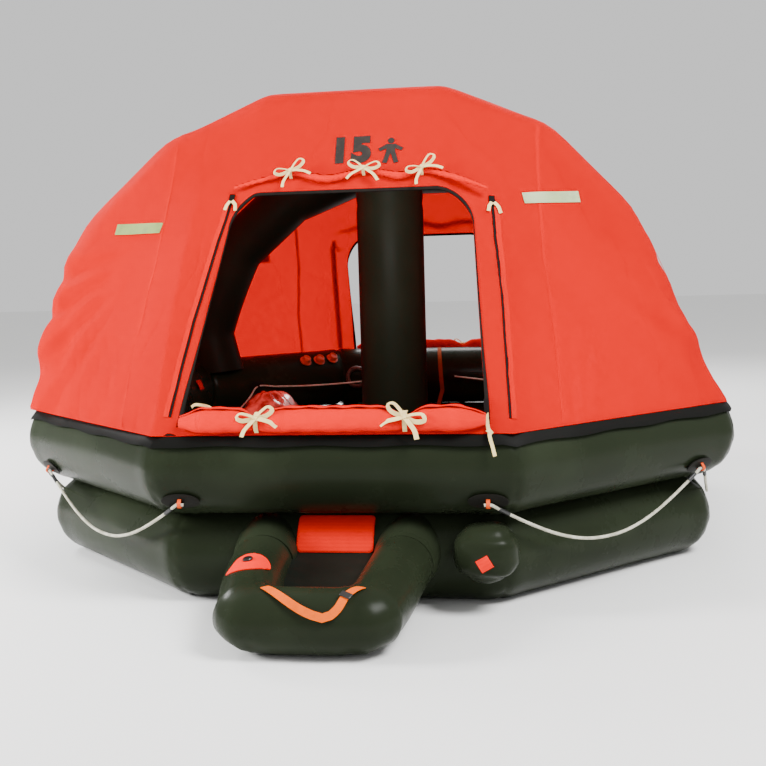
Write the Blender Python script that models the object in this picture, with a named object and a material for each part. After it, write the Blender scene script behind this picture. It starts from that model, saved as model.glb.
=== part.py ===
"""Inflatable life raft: two stacked buoyancy rings, arched canopy, central column and boarding ramp.

Metres, +Z up.  The origin is on the ground under the centre of the rings.  The front door and the
boarding ramp are at -Y, the rear door and its ladder are at +Y.  The raft stands on its lower ring.
"""
import bpy
import bmesh
from math import sin, cos, tan, radians, pi, sqrt
from mathutils import Vector

# Buoyancy rings: elongated octagons with 45 degree corners
FACET_HALF = 0.524          # half the length of the end facets, along X, on the upper centreline
RING_HALF_DEPTH = 1.475     # centre to end facet centreline, along Y
RING_HALF_WIDTH = 1.196     # centre to side facet centreline, along X
UPPER_R = 0.160
LOWER_R = 0.154
LOWER_INSET = 0.075         # the lower ring stands this much further in
GROUND_SQUASH = 0.004       # how far the lower ring is pressed flat on the ground
TUBE_SIDES = 32

# Touching pieces are kept apart by this much
GAP = 0.0004

# Arches, ridge and column
ARCH_Y = 0.85
ARCH_R = 0.1345
CLOTH_STANDOFF = 0.009      # from an arch's surface to the canopy's outer face
CLOTH = 0.0025
CROWN = [(1.215, 0.800), (1.010, 1.275), (0.705, 1.575), (0.325, 1.730)]   # canopy line over an arch
ARCH_FOOT = (1.195, 0.545)
RIDGE_R = 0.1375
COLUMN_R = 0.1475

# Canopy
WRAP = radians(60.0)        # how far the cloth follows an arch before it leaves for the ring
HEM_ANGLE = radians(48.0)   # where the cloth meets the upper ring, from the top outwards
HEM_R = 0.168
SEAM_X = 0.550              # where the door panels end on the arches
SEAM_GAP = 0.003            # from a panel's edge to the seam's middle

# Doors: half widths at sill and head, heights on the panel, corner radius
FRONT_DOOR = dict(sill=0.490, head=0.400, bottom=0.600, top=1.343, corner=0.100)
REAR_DOOR = dict(sill=0.430, head=0.420, bottom=0.600, top=1.250, corner=0.140)

# Floor
FLOOR_TOP = 0.062
FLOOR_REST_HALF = 0.42      # factor of the ring that rests on the ground
FLOOR_LIFT = 0.012          # underside outside of that

# Boarding ramp
RAMP_R = 0.095
RAMP_Y = -1.990
RAMP_Z = 0.0965
RAMP_RISE = 0.17            # slope of the ramp's legs
RAMP_HALF_ROOT = 0.240
RAMP_HALF_TOE = 0.190

RAMP_ROOT_Y = -1.40         # where its legs start, inside the lower ring
RAMP_TOE_BEND = 0.062       # the toe's corners are cut between these two points
RAMP_TOE_CUT = 0.040
RAMP_SIDES = 20
CUFF_LENGTH = 0.205
CUFF_THICK = 0.0036

# Ramp's deck, handle and valve plate
DECK_ROWS = [(-1.560, 0.0049), (-1.612, 0.0049), (-1.650, 0.0012), (-1.760, 0.0012),
             (-1.830, 0.0045), (-1.870, 0.0500)]   # Y, and how far it stays from the legs' line
DECK_THICK = 0.003
HANDLE_LINE = [(-0.126, 81, 0.000), (-0.100, 72, 0.006), (-0.076, 60, 0.008), (-0.052, 50, 0.010),
               (-0.029, 41, 0.011), (-0.006, 34, 0.012), (0.017, 28, 0.013), (0.040, 24, 0.013),
               (0.056, 22, 0.013), (0.070, 23, 0.013), (0.085, 28, 0.012), (0.098, 36, 0.011),
               (0.108, 47, 0.010), (0.116, 58, 0.009), (0.126, 67, 0.007), (0.138, 75, 0.004),
               (0.150, 82, 0.000)]   # X, degrees up round the toe, and how far it stands off
HANDLE_HALF_WIDTH = 0.0125
HANDLE_THICK = 0.0022
PLATE_ALONG = 0.405         # down the left leg
PLATE_R = 0.070
PLATE_HALF = 0.036
PLATE_THICK = 0.0024

# Boarding sign and gas cylinder pouch on the lower ring
SIGN_X = 0.006
SIGN_HALF = 0.116
SIGN_LOW = 13.0             # degrees above the outward level
SIGN_RISE = 46.0
SIGN_THICK = 0.0022
POUCH_X = 0.480
POUCH_Y = -1.560
POUCH_PROFILE = [(0.098, 0.030), (0.104, 0.062), (0.122, 0.086), (0.150, 0.098), (0.190, 0.101),
                 (0.230, 0.097), (0.262, 0.080), (0.280, 0.052)]   # height and radius

# Rolled curtains: half width, height on the panel, tie places, droop between the ties
FRONT_SILL = dict(half=0.485, z=0.604, ties=(-0.235, 0.215))
REAR_SILL = dict(half=0.425, z=0.604, ties=(-0.2, 0.2))
FRONT_HEAD = dict(half=0.445, z=1.412, ties=(-0.24, 0.02, 0.27))
REAR_HEAD = dict(half=0.445, z=1.318, ties=(-0.25, 0.0, 0.25))
HEAD_DROOP = 0.018
ROLL_SIDES = 12

# Grab lines
ROPE_R = 0.0055
PATCH_ANGLE = radians(-38.0)
ROPE_DROOP = 0.165
PAD_LIFT = 0.0034           # a pad's outer face above its ring
PAD_THICK = 0.0030
PAD_HALF_WIDTH = 0.060
PAD_HALF_HIGH = 0.032
TAB_W = 0.012
TAB_H = 0.022
TAB_OUT = 0.024

# Inner life lines: three pads a side, as facet, place along it; the line hangs between them
INNER_ROPE_R = 0.0045
INNER_PAD_ANGLE = pi - radians(3.0)
INNER_PADS = {"front": (6, 0.62), "middle": (5, 0.17), "rear": (4, 0.17)}
INNER_DROOPS = (0.145, 0.016)

# Things kept inside
BAG_X = -0.700
BAG_Y = 0.500
BAG_HALF_X = 0.150
BAG_HALF_Y = 0.210
BAG_PROFILE = [(0.0, 0.80), (0.024, 0.95), (0.10, 1.0), (0.24, 0.97), (0.34, 0.85), (0.40, 0.60),
               (0.424, 0.22)]
QUOIT_X = -0.385
QUOIT_UP = 0.012            # above the upper ring's middle
QUOIT_R = 0.052
QUOIT_WIRE = 0.012

# Rear ladder: angle where its straps start, half width, strap width, heights of its steps
LADDER_START = 22.0
LADDER_HALF = 0.205
LADDER_STRAP = 0.038
LADDER_DROPS = [0.060, 0.100, 0.195, 0.235, 0.330, 0.370]
LADDER_WRAP = 8

# Water pockets
POCKET_X = 0.62
POCKET_Y = 0.66
POCKET_HALF_X = 0.19
POCKET_HALF_Y = 0.16

tau = 2.0 * pi
LOWER_Z = LOWER_R - GROUND_SQUASH
UPPER_Z = LOWER_Z + sqrt((UPPER_R + LOWER_R + GAP) ** 2 - LOWER_INSET ** 2)
WRAP_R = ARCH_R + CLOTH_STANDOFF

BLACK = (0.030, 0.036, 0.031)
ORANGE = (0.905, 0.092, 0.040)
SIGN_ORANGE = (0.930, 0.120, 0.060)
HANDLE_ORANGE = (0.900, 0.270, 0.040)
ROPE_CREAM = (0.640, 0.620, 0.450)

for old in list(bpy.data.objects):
    bpy.data.objects.remove(old, do_unlink=True)


def material(name, colour, roughness=0.6, metallic=0.0):
    mat = bpy.data.materials.new(name)
    mat.use_nodes = True
    shader = mat.node_tree.nodes["Principled BSDF"]
    shader.inputs["Base Color"].default_value = (*colour, 1.0)
    shader.inputs["Roughness"].default_value = roughness
    shader.inputs["Metallic"].default_value = metallic
    return mat


def solid(name, verts, faces, mat):
    """One closed mesh object with its faces turned outwards."""
    mesh = bpy.data.meshes.new(name)
    mesh.from_pydata([tuple(v) for v in verts], [], faces)
    work = bmesh.new()
    work.from_mesh(mesh)
    bmesh.ops.recalc_face_normals(work, faces=work.faces)
    work.to_mesh(mesh)
    work.free()
    mesh.shade_smooth()
    mesh.set_sharp_from_angle(angle=radians(35))
    obj = bpy.data.objects.new(name, mesh)
    bpy.context.scene.collection.objects.link(obj)
    mesh.materials.append(mat)
    return obj


def cut(obj, cutter, operation="DIFFERENCE"):
    """Shape obj with a guide object that isn't part of the raft."""
    cutter.hide_render = True
    cutter.display_type = "WIRE"
    mod = obj.modifiers.new(operation.title() + " " + cutter.name, "BOOLEAN")
    mod.operation = operation
    mod.solver = "EXACT"
    mod.object = cutter


def skin(rings, closed):
    """Vertices and faces of a tube through a list of equally long rings of points."""
    count = len(rings[0])
    verts = [p for ring in rings for p in ring]
    faces = []
    last = len(rings) if closed else len(rings) - 1
    for i in range(last):
        a, b = i * count, ((i + 1) % len(rings)) * count
        for k in range(count):
            m = (k + 1) % count
            faces.append((a + k, a + m, b + m, b + k))
    if not closed:
        faces.append(tuple(reversed(range(count))))
        faces.append(tuple(range((len(rings) - 1) * count, len(rings) * count)))
    return verts, faces


def mitred(points, normal, radius, sides, closed=False):
    """Rings of a tube through points in one plane, mitred at each bend."""
    points = [Vector(p) for p in points]
    normal = Vector(normal).normalized()
    rings = []
    n = len(points)
    for i, p in enumerate(points):
        before = points[i - 1] if (closed or i > 0) else None
        after = points[(i + 1) % n] if (closed or i < n - 1) else None
        a = (p - before).normalized() if before is not None else (after - p).normalized()
        b = (after - p).normalized() if after is not None else a
        t = (a + b).normalized()
        side = normal.cross(t) / t.dot(a)
        rings.append([p + radius * (cos(k * tau / sides) * side + sin(k * tau / sides) * normal)
                      for k in range(sides)])
    return rings


def sheet(grid, thickness, closed=False, keep=None, centre=(0.0, 0.0, 0.7)):
    """A cloth of even thickness: grid is its outer face, row by row; keep leaves cells open."""
    rows, cols = len(grid), len(grid[0])
    centre = Vector(centre)
    inner = []
    for i in range(rows):
        line = []
        for j in range(cols):
            up = grid[min(i + 1, rows - 1)][j] - grid[max(i - 1, 0)][j]
            if closed:
                across = grid[i][(j + 1) % cols] - grid[i][j - 1]
            else:
                across = grid[i][min(j + 1, cols - 1)] - grid[i][max(j - 1, 0)]
            n = across.cross(up).normalized()
            if n.dot(grid[i][j] - centre) < 0:
                n = -n
            line.append(grid[i][j] - n * thickness)
        inner.append(line)
    verts = [p for row in grid for p in row] + [p for row in inner for p in row]
    half = rows * cols
    faces, edges = [], {}
    for i in range(rows - 1):
        for j in range(cols if closed else cols - 1):
            if keep is not None and not keep(i, j):
                continue
            m = (j + 1) % cols
            quad = (i * cols + j, i * cols + m, (i + 1) * cols + m, (i + 1) * cols + j)
            faces.append(quad)
            faces.append(tuple(half + v for v in reversed(quad)))
            for k in range(4):
                a, b = quad[k], quad[(k + 1) % 4]
                if (b, a) in edges:
                    del edges[(b, a)]
                else:
                    edges[(a, b)] = True
    for a, b in edges:
        faces.append((a, half + a, half + b, b))
    used = sorted({v for f in faces for v in f})
    place = {v: k for k, v in enumerate(used)}
    return [verts[v] for v in used], [tuple(place[v] for v in f) for f in faces]


def octagon(out):
    """Corners of the upper ring's centreline moved outwards, counter-clockwise from front left."""
    grow = out * tan(radians(22.5))
    a, b, c = FACET_HALF + grow, RING_HALF_DEPTH + out, RING_HALF_WIDTH + out
    e = RING_HALF_DEPTH - (RING_HALF_WIDTH - FACET_HALF) + grow
    return [(-a, -b), (a, -b), (c, -e), (c, e), (a, b), (-a, b), (-c, e), (-c, -e)]


def ring_rings(out, z, radius, sides=TUBE_SIDES):
    return mitred([(x, y, z) for x, y in octagon(out)], (0, 0, 1), radius, sides, closed=True)


def facet(index):
    """Mid-point, direction and outward normal of a facet of the upper centreline."""
    corners = octagon(0.0)
    a, b = Vector((*corners[index], 0.0)), Vector((*corners[(index + 1) % 8], 0.0))
    d = (b - a).normalized()
    return (a + b) / 2, d, Vector((d.y, -d.x, 0.0)), (b - a).length


def on_upper(index, along, angle, radius):
    """A point beside the upper ring: along its facet, angle above the outward level."""
    mid, d, out, _ = facet(index)
    return mid + d * along + out * (radius * cos(angle)) + Vector((0, 0, UPPER_Z + radius * sin(angle)))


def on_lower(index, along, angle, radius):
    mid, d, out, _ = facet(index)
    return (mid + d * along + out * (radius * cos(angle) - LOWER_INSET)
            + Vector((0, 0, LOWER_Z + radius * sin(angle))))


# Buoyancy rings
black = material("black_tube", BLACK, 0.42)

verts, faces = skin(ring_rings(0.0, UPPER_Z, UPPER_R), True)
solid("upper_buoyancy_tube", verts, faces, black)

lower = [[Vector((p.x, p.y, max(p.z, 0.0))) for p in ring]
         for ring in ring_rings(-LOWER_INSET, LOWER_Z, LOWER_R)]
verts, faces = skin(lower, True)
solid("lower_buoyancy_tube", verts, faces, black)


def ring_guide(name, out, z, radius):
    v, f = skin(ring_rings(out, z, radius + GAP + 0.0002), True)
    return solid(name, v, f, black)


upper_guide = ring_guide("guide_upper_ring", 0.0, UPPER_Z, UPPER_R)
lower_guide = ring_guide("guide_lower_ring", -LOWER_INSET, LOWER_Z, LOWER_R)

# Inflated floor: rests on the ground in the middle, closes the lower ring's hollow


def floor_loop(inset, z, factor=1.0):
    return [Vector((x * factor, y * factor, z)) for x, y in octagon(-LOWER_INSET - inset)]


def beside_lower(z):
    return sqrt(LOWER_R ** 2 - (LOWER_Z - z) ** 2) + GAP


loops = [floor_loop(0.30, 0.0, FLOOR_REST_HALF), floor_loop(0.30, FLOOR_LIFT, FLOOR_REST_HALF + 0.06),
         floor_loop(beside_lower(FLOOR_LIFT) + 0.004, FLOOR_LIFT)]
for step in range(1, 5):
    z = FLOOR_LIFT + (FLOOR_TOP - FLOOR_LIFT) * step / 4
    loops.append(floor_loop(beside_lower(z), z))
verts, faces = skin(loops, False)
solid("floor", verts, faces, material("floor_black", (0.035, 0.038, 0.036), 0.55))

# Arches


def crown_line():
    """Canopy line over an arch with its mitres: (centre, mitre) pairs in the XZ plane, right to left."""
    outer = [ARCH_FOOT] + CROWN
    outer = outer + [(-x, z) for x, z in reversed(outer)]
    pairs = []
    for i, (x, z) in enumerate(outer):
        p = Vector((x, 0.0, z))
        a = (p - Vector((outer[i - 1][0], 0, outer[i - 1][1]))).normalized() if i else None
        b = (Vector((outer[i + 1][0], 0, outer[i + 1][1])) - p).normalized() if i < len(outer) - 1 else a
        a = a or b
        t = (a + b).normalized()
        w = Vector((t.z, 0.0, -t.x)) / t.dot(a)
        pairs.append((p - w * WRAP_R, w))
    return pairs


CROWN_PAIRS = crown_line()


def arch(name, y):
    points = [c + Vector((0, y, 0)) for c, w in CROWN_PAIRS]
    v, f = skin(mitred(points, (0, 1, 0), ARCH_R, 24), False)
    obj = solid(name, v, f, black)
    cut(obj, upper_guide)
    return obj


arch("front_arch", -ARCH_Y)
arch("rear_arch", ARCH_Y)

RIDGE_Z = CROWN[3][1] - WRAP_R


def level_tube(name, radius, half, z, sides=24, mat=black):
    v, f = skin(mitred([(0, -half, z), (0, half, z)], (0, 0, 1), radius, sides), False)
    return solid(name, v, f, mat)


ridge = level_tube("ridge_tube", RIDGE_R, ARCH_Y, RIDGE_Z)
for side, y in (("front", -ARCH_Y), ("rear", ARCH_Y)):
    v, f = skin(mitred([(-0.4, y, RIDGE_Z), (0.4, y, RIDGE_Z)], (0, 1, 0), ARCH_R + 2 * GAP, 24), False)
    cut(ridge, solid("guide_arch_" + side, v, f, black))

v, f = skin(mitred([(0, 0, FLOOR_TOP + GAP), (0, 0, RIDGE_Z - 0.065)], (0, 1, 0), COLUMN_R, 28), False)
column = solid("column", v, f, material("black_column", BLACK, 0.5))
cut(column, level_tube("guide_ridge", RIDGE_R + 2 * GAP, ARCH_Y, RIDGE_Z))

# Canopy
orange = material("canopy_orange", ORANGE, 0.7)
HEM_OUT = HEM_R * sin(HEM_ANGLE)
HEM_Z = UPPER_Z + HEM_R * cos(HEM_ANGLE)
HEM = octagon(HEM_OUT)


def crown_at(x):
    """Centre and mitre on the crown line at a given outer X, over the top three facets."""
    pairs = CROWN_PAIRS
    for (c0, w0), (c1, w1) in zip(pairs[1:], pairs[2:-1]):
        x0, x1 = (c0 + w0 * WRAP_R).x, (c1 + w1 * WRAP_R).x
        if x1 - 1e-9 <= x <= x0 + 1e-9:
            t = (x0 - x) / (x0 - x1)
            return c0.lerp(c1, t), w0.lerp(w1, t)
    return (pairs[1] if x > 0 else pairs[-2])


def over_arch(x, angle):
    """A point of the cloth round the front arch; angle 0 is the arch's crown."""
    c, w = crown_at(x)
    return c + Vector((0, -ARCH_Y, 0)) + WRAP_R * (cos(angle) * w + sin(angle) * Vector((0, -1, 0)))


def clear_of_arch(p):
    """Cloth that would pass through the front arch lies over it instead."""
    lift = WRAP_R + 0.0035 + 0.0075 * min(max((1.05 - p.z) / 0.2, 0.0), 1.0)
    for (c0, _), (c1, _) in zip(CROWN_PAIRS, CROWN_PAIRS[1:]):
        a, b = c0 + Vector((0, -ARCH_Y, 0)), c1 + Vector((0, -ARCH_Y, 0))
        along = b - a
        t = min(max((p - a).dot(along) / along.dot(along), 0.0), 1.0)
        near = a + along * t
        if (p - near).length < lift:
            p = near + (p - near).normalized() * lift
    return p


def mirrored(p, x=1, y=1):
    return Vector((p.x * x, p.y * y, p.z))


HEM_HALF = HEM[1][0]


def panel_point(s, v):
    """Front door panel: s from -1 to 1 across; v 0 at the hem, 1 where it meets the arch, 2 its crown."""
    if v > 1.0:
        return over_arch(s * SEAM_X, WRAP * (2.0 - v))
    foot = Vector((s * HEM_HALF, HEM[0][1], HEM_Z))
    return foot.lerp(over_arch(s * SEAM_X, WRAP), v)


def door_panel(name, door, end):
    """The panel with its door opening; end is +1 for the front and -1 for the rear."""
    edge = 1.0 - SEAM_GAP / HEM_HALF
    top_v = 1.99     # just short of the arch's crown, where the roof begins
    high = over_arch(0.0, WRAP).z
    r = door["corner"]

    def at_height(z):
        return (z - HEM_Z) / (high - HEM_Z)

    def half_at(z):
        k = (z - door["bottom"]) / (door["top"] - door["bottom"])
        return door["sill"] + (door["head"] - door["sill"]) * k

    def corner_point(angle):
        """Head corner on the right: 0 on the jamb side, 90 on the head."""
        z = door["top"] - r + r * sin(angle)
        return half_at(door["top"] - r) - r + r * cos(angle), z

    def side_points(count, sign):
        """Jamb from the sill up to the middle of the head corner."""
        pts = []
        jamb = count - 4
        for k in range(jamb):
            z = door["bottom"] + (door["top"] - r - door["bottom"]) * k / jamb
            pts.append((sign * half_at(z), z))
        for k in range(4):
            x, z = corner_point(radians(45) * k / 3)
            pts.append((sign * x, z))
        return pts

    n_side, n_sill, n_head = 14, 14, 24
    hole, rim = [], []
    for k in range(n_sill):
        t = k / n_sill
        hole.append((-door["sill"] + 2 * door["sill"] * t, door["bottom"]))
        rim.append((-edge + 2 * edge * t, 0.0))
    right = side_points(n_side, 1)
    for k in range(n_side):
        hole.append(right[k])
        t = k / (n_side - 1) * 0.98
        rim.append((edge, top_v * t))
    head = []
    for k in range(5):
        head.append(corner_point(radians(45 + 45 * k / 5)))
    x_end = head[-1][0]
    for k in range(14):
        head.append((x_end - 2 * x_end * (k + 0.5) / 14, door["top"]))
    for k in range(5):
        x, z = corner_point(radians(90 - 45 * (k + 1) / 6))
        head.append((-x, z))
    for k in range(n_head):
        hole.append(head[k])
        rim.append((edge - 2 * edge * k / (n_head - 1), top_v))
    left = side_points(n_side, -1)[::-1]
    for k in range(n_side):
        hole.append(left[k])
        t = (n_side - 1 - k) / (n_side - 1) * 0.98 + 0.004
        rim.append((-edge, top_v * t))

    grid = []
    steps = 6
    for step in range(steps + 1):
        row = []
        for (x, z), (s1, v1) in zip(hole, rim):
            v0 = at_height(z)
            wide = HEM_HALF + (SEAM_X - HEM_HALF) * v0
            s0 = x / wide
            k = step / steps
            p = panel_point(s0 + (s1 - s0) * k, v0 + (v1 - v0) * k)
            row.append(mirrored(p, 1, end))
        grid.append(row)
    v, f = sheet(grid, CLOTH, closed=True)
    return solid(name, v, f, orange)


door_panel("canopy_front_panel", FRONT_DOOR, 1)
door_panel("canopy_rear_panel", REAR_DOOR, -1)

# Corner panels, from a seam on the arch down to the ring's 45 degree corner facet
LOW_SIDE = [(SEAM_X, 0.0), (0.6275, 0.12), (0.705, 0.25), (0.86, 0.42), (1.010, 0.60),
            (1.06, 0.70), (1.115, 0.80), (1.165, 0.90), (1.195, 0.96), (1.215, 1.0)]


def corner_panel(name, x_sign, y_sign):
    edge = SEAM_GAP / (Vector(HEM[2]) - Vector(HEM[1])).length
    start, end = Vector((*HEM[1], HEM_Z)), Vector((*HEM[2], HEM_Z))
    cols = []
    for x, u in LOW_SIDE:
        x = min(max(x, SEAM_X + SEAM_GAP), CROWN[0][0] - 0.002)
        u = min(max(u, edge), 1 - edge)
        wrap = WRAP * (1 - u ** 8)
        foot = start.lerp(end, u)
        leave = over_arch(x, wrap)
        col = [foot] + [clear_of_arch(foot.lerp(leave, k / 8)) for k in range(1, 8)] + [leave]
        col += [over_arch(x, wrap + (0.008 - wrap) * k / 4) for k in range(1, 5)]
        cols.append([mirrored(p, x_sign, y_sign) for p in col])
    grid = [[cols[j][i] for j in range(len(cols))] for i in range(len(cols[0]))]
    v, f = sheet(grid, CLOTH)
    return solid(name, v, f, orange)


corner_panel("canopy_corner_front_right", 1, 1)
corner_panel("canopy_corner_front_left", -1, 1)
corner_panel("canopy_corner_rear_right", 1, -1)
corner_panel("canopy_corner_rear_left", -1, -1)

# Roof panel: barrel between the arches, down to the ring on both sides
profile = [(HEM[3][0], HEM_Z), ((HEM[3][0] + 1.215) / 2, (HEM_Z + 0.80) / 2)]
for (xa, za), (xb, zb) in zip(CROWN, CROWN[1:]):
    profile += [(xa, za), ((xa + xb) / 2, (za + zb) / 2)]
profile += [CROWN[3], (0.11, CROWN[3][1])]
profile += [(-x, z) for x, z in reversed(profile)]
roof_half = ARCH_Y - 0.0015
grid = []
for k in range(7):
    y = -roof_half + 2 * roof_half * k / 6
    grid.append([Vector((x, y, z)) for x, z in profile])
verts, faces = sheet(grid, CLOTH)
solid("canopy_roof", verts, faces, orange)

# Black band that holds the canopy's hem to the upper ring
band_rings = []
for corner in range(8):
    section = []
    for k in range(5):
        a = radians(40 + 26 * k / 4)
        section.append((a, UPPER_R + 0.0052))
    for k in range(5):
        a = radians(66 - 26 * k / 4)
        section.append((a, UPPER_R + GAP))
    ring = []
    for a, r in section:
        x, y = octagon(r * sin(a))[corner]
        ring.append(Vector((x, y, UPPER_Z + r * cos(a))))
    band_rings.append(ring)
verts, faces = skin(band_rings, True)
solid("canopy_hem_band", verts, faces, material("hem_black", (0.028, 0.029, 0.028), 0.6))

# Rolled door curtains


def roll(name, end, points, half_high, half_deep, stand):
    """A rolled curtain: an oval sausage through points on the door panel, pinched at its ties."""
    slope = (over_arch(0, WRAP) - Vector((0, HEM[0][1], HEM_Z))).normalized()
    outward = Vector((0, -slope.z, slope.y))
    rings = []
    n = len(points)
    for i, (x, z, size) in enumerate(points):
        k = (z - HEM_Z) / slope.z
        base = Vector((x, HEM[0][1], HEM_Z)) + slope * k
        p = base + outward * (half_deep + stand)
        ring = []
        for m in range(ROLL_SIDES):
            a = m * tau / ROLL_SIDES
            q = p + slope * (half_high * size * cos(a)) + outward * (half_deep * size * sin(a)
                                                                    - half_deep * (1 - size))
            ring.append(mirrored(q, 1, end))
        rings.append(ring)
    v, f = skin(rings, False)
    return solid(name, v, f, orange)


def sill_points(half, z, ties):
    """Stations of a lower roll with narrow places at its ties."""
    pts = []
    count = 22
    for k in range(count + 1):
        x = -half + 2 * half * k / count
        pinch = min(abs(x - t) for t in ties)
        size = 1.0 - 0.42 * max(0.0, 1 - pinch / 0.075) ** 1.5
        size *= min(1.0, 0.35 + 5.5 * min(k, count - k) / count)
        pts.append((x, z, size))
    return pts


roll("front_door_lower_roll", 1, sill_points(**FRONT_SILL), 0.047, 0.024, -0.0002)
roll("rear_door_lower_roll", -1, sill_points(**REAR_SILL), 0.045, 0.024, -0.0002)


def head_points(half, z, ties):
    """Stations of an upper roll, which hangs down between its ties."""
    pts = []
    count = 24
    for k in range(count + 1):
        x = -half + 2 * half * k / count
        pinch = min(abs(x - t) for t in ties)
        size = 1.0 - 0.3 * max(0.0, 1 - pinch / 0.05)
        size *= min(1.0, 0.5 + 6.0 * min(k, count - k) / count)
        pts.append((x, z - HEAD_DROOP * min(1.0, pinch / 0.11), size))
    return pts


roll("front_door_upper_roll", 1, head_points(**FRONT_HEAD), 0.020, 0.013, 0.0004)
roll("rear_door_upper_roll", -1, head_points(**REAR_HEAD), 0.020, 0.013, 0.0004)

# Boarding ramp


def ramp_z(y):
    return RAMP_Z + RAMP_RISE * (y - RAMP_Y)


def ramp_path():
    half = [(RAMP_HALF_ROOT, RAMP_ROOT_Y), (RAMP_HALF_TOE + 0.015, RAMP_Y + RAMP_TOE_BEND),
            (RAMP_HALF_TOE - RAMP_TOE_CUT, RAMP_Y)]
    path = [(-x, y) for x, y in half] + [(x, y) for x, y in reversed(half)]
    return [(x, y, ramp_z(y)) for x, y in path]


ramp_up = Vector((0, -RAMP_RISE, 1)).normalized()
rings = mitred(ramp_path(), ramp_up, RAMP_R, RAMP_SIDES)
rings = [[Vector((p.x, p.y, max(p.z, 0.0))) for p in ring] for ring in rings]
verts, faces = skin(rings, False)
ramp = solid("ramp_tube", verts, faces, black)
cut(ramp, lower_guide)

LEG_FOOT = Vector((RAMP_HALF_TOE + 0.015, RAMP_Y + RAMP_TOE_BEND, ramp_z(RAMP_Y + RAMP_TOE_BEND)))
LEG_ROOT = Vector((RAMP_HALF_ROOT, RAMP_ROOT_Y, ramp_z(RAMP_ROOT_Y)))
for side, sign in (("left", -1), ("right", 1)):
    root = mirrored(LEG_ROOT, sign)
    path = [root, root + (mirrored(LEG_FOOT, sign) - root).normalized() * CUFF_LENGTH]
    inner = mitred(path, ramp_up, RAMP_R + GAP, RAMP_SIDES)
    outer = mitred(path, ramp_up, RAMP_R + GAP + CUFF_THICK, RAMP_SIDES)
    v, f = skin([outer[0], outer[1], inner[1], inner[0]], True)
    cuff = solid("ramp_cuff_" + side, v, f, material("cuff_black_" + side, (0.034, 0.038, 0.034), 0.5))
    cut(cuff, lower_guide)

# Ramp deck: cloth between the legs, on their centre plane
deck_rows = []
for y, beside in DECK_ROWS:
    t = (y - RAMP_ROOT_Y) / (LEG_FOOT.y - RAMP_ROOT_Y)
    half = RAMP_HALF_ROOT + (LEG_FOOT.x - RAMP_HALF_ROOT) * t - RAMP_R - beside
    deck_rows.append([Vector((half * m / 2, y, ramp_z(y) + DECK_THICK / 2)) for m in (-2, -1, 0, 1, 2)])
verts, faces = sheet(deck_rows, DECK_THICK, centre=(0, -1.7, -1.0))
solid("ramp_deck", verts, faces, material("deck_black", (0.030, 0.034, 0.031), 0.6))

# Webbing handle over the ramp's toe: it hangs forwards in the middle
handle_track = []
for x, degrees, stand in HANDLE_LINE:
    radial = Vector((0, -cos(radians(degrees)), sin(radians(degrees))))
    away = RAMP_R + HANDLE_THICK + GAP + stand
    handle_track.append((Vector((x, RAMP_Y, RAMP_Z)) + radial * away, radial))
handle_rows = []
for i, (p, radial) in enumerate(handle_track):
    along = handle_track[min(i + 1, len(handle_track) - 1)][0] - handle_track[max(i - 1, 0)][0]
    wide = radial.cross(along).normalized() * HANDLE_HALF_WIDTH
    handle_rows.append([p - wide, p + wide])
verts, faces = sheet(handle_rows, HANDLE_THICK, centre=(0, RAMP_Y, RAMP_Z))
solid("ramp_handle", verts, faces, material("handle_orange", HANDLE_ORANGE, 0.55))

# Half-moon plate with the ramp's filling valve, on top of the left leg
leg_root = mirrored(LEG_ROOT, -1)
leg_way = (mirrored(LEG_FOOT, -1) - leg_root).normalized()
leg_side = ramp_up.cross(leg_way).normalized()


def on_leg(along, angle, radius):
    return leg_root + leg_way * along + radius * (cos(angle) * ramp_up + sin(angle) * leg_side)


plate = []
for i in range(9):
    v = -PLATE_HALF + 2 * PLATE_HALF * i / 8
    span = sqrt(max(PLATE_R ** 2 - (PLATE_HALF - v) ** 2, 0.012 ** 2))
    plate.append([on_leg(PLATE_ALONG + v, (span * m / 4) / RAMP_R - 0.12, RAMP_R + 0.0030)
                  for m in range(-4, 5)])
verts, faces = sheet(plate, PLATE_THICK, centre=leg_root + leg_way * PLATE_ALONG - ramp_up)
solid("ramp_valve_plate", verts, faces, material("plate_orange", SIGN_ORANGE, 0.5))

# Blank boarding sign on the lower ring, over the ramp
sign_rows = []
for i, corner in enumerate((0.010, 0.002, 0.0, 0.0, 0.0, 0.0, 0.0, 0.002, 0.010)):
    a = radians(SIGN_LOW + SIGN_RISE * i / 8)
    sign_rows.append([on_lower(0, SIGN_X + (SIGN_HALF - corner) * m / 3, a, LOWER_R + 0.0028)
                      for m in range(-3, 4)])
verts, faces = sheet(sign_rows, SIGN_THICK)
solid("boarding_sign", verts, faces, material("sign_orange", SIGN_ORANGE, 0.5))

# Pouch over the gas cylinder's head, on the front of the lower ring
pouch = []
for z, r in POUCH_PROFILE:
    pouch.append([Vector((POUCH_X + r * cos(m * tau / 20), POUCH_Y + r * sin(m * tau / 20), z))
                  for m in range(20)])
verts, faces = skin(pouch, False)
pouch = solid("cylinder_head_pouch", verts, faces, material("pouch_black", (0.030, 0.035, 0.031), 0.5))
cut(pouch, lower_guide)

# Grab line patches: an oval pad on the upper ring with a webbing tab that the rope is tied to
patch_black = material("patch_black", (0.040, 0.038, 0.034), 0.55)
HALF = {i: facet(i)[3] / 2 for i in range(8)}
CHAMFER_END = HALF[1] - 0.115
SPOTS = {
    "front_left": (0, -0.490), "front_right": (0, 0.490),
    "right_front": (1, CHAMFER_END), "right_middle": (2, 0.0), "right_rear": (3, -CHAMFER_END),
    "rear_right": (4, -0.490), "rear_left": (4, 0.490),
    "left_rear": (5, CHAMFER_END), "left_middle": (6, 0.0), "left_front": (7, -CHAMFER_END),
}


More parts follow.
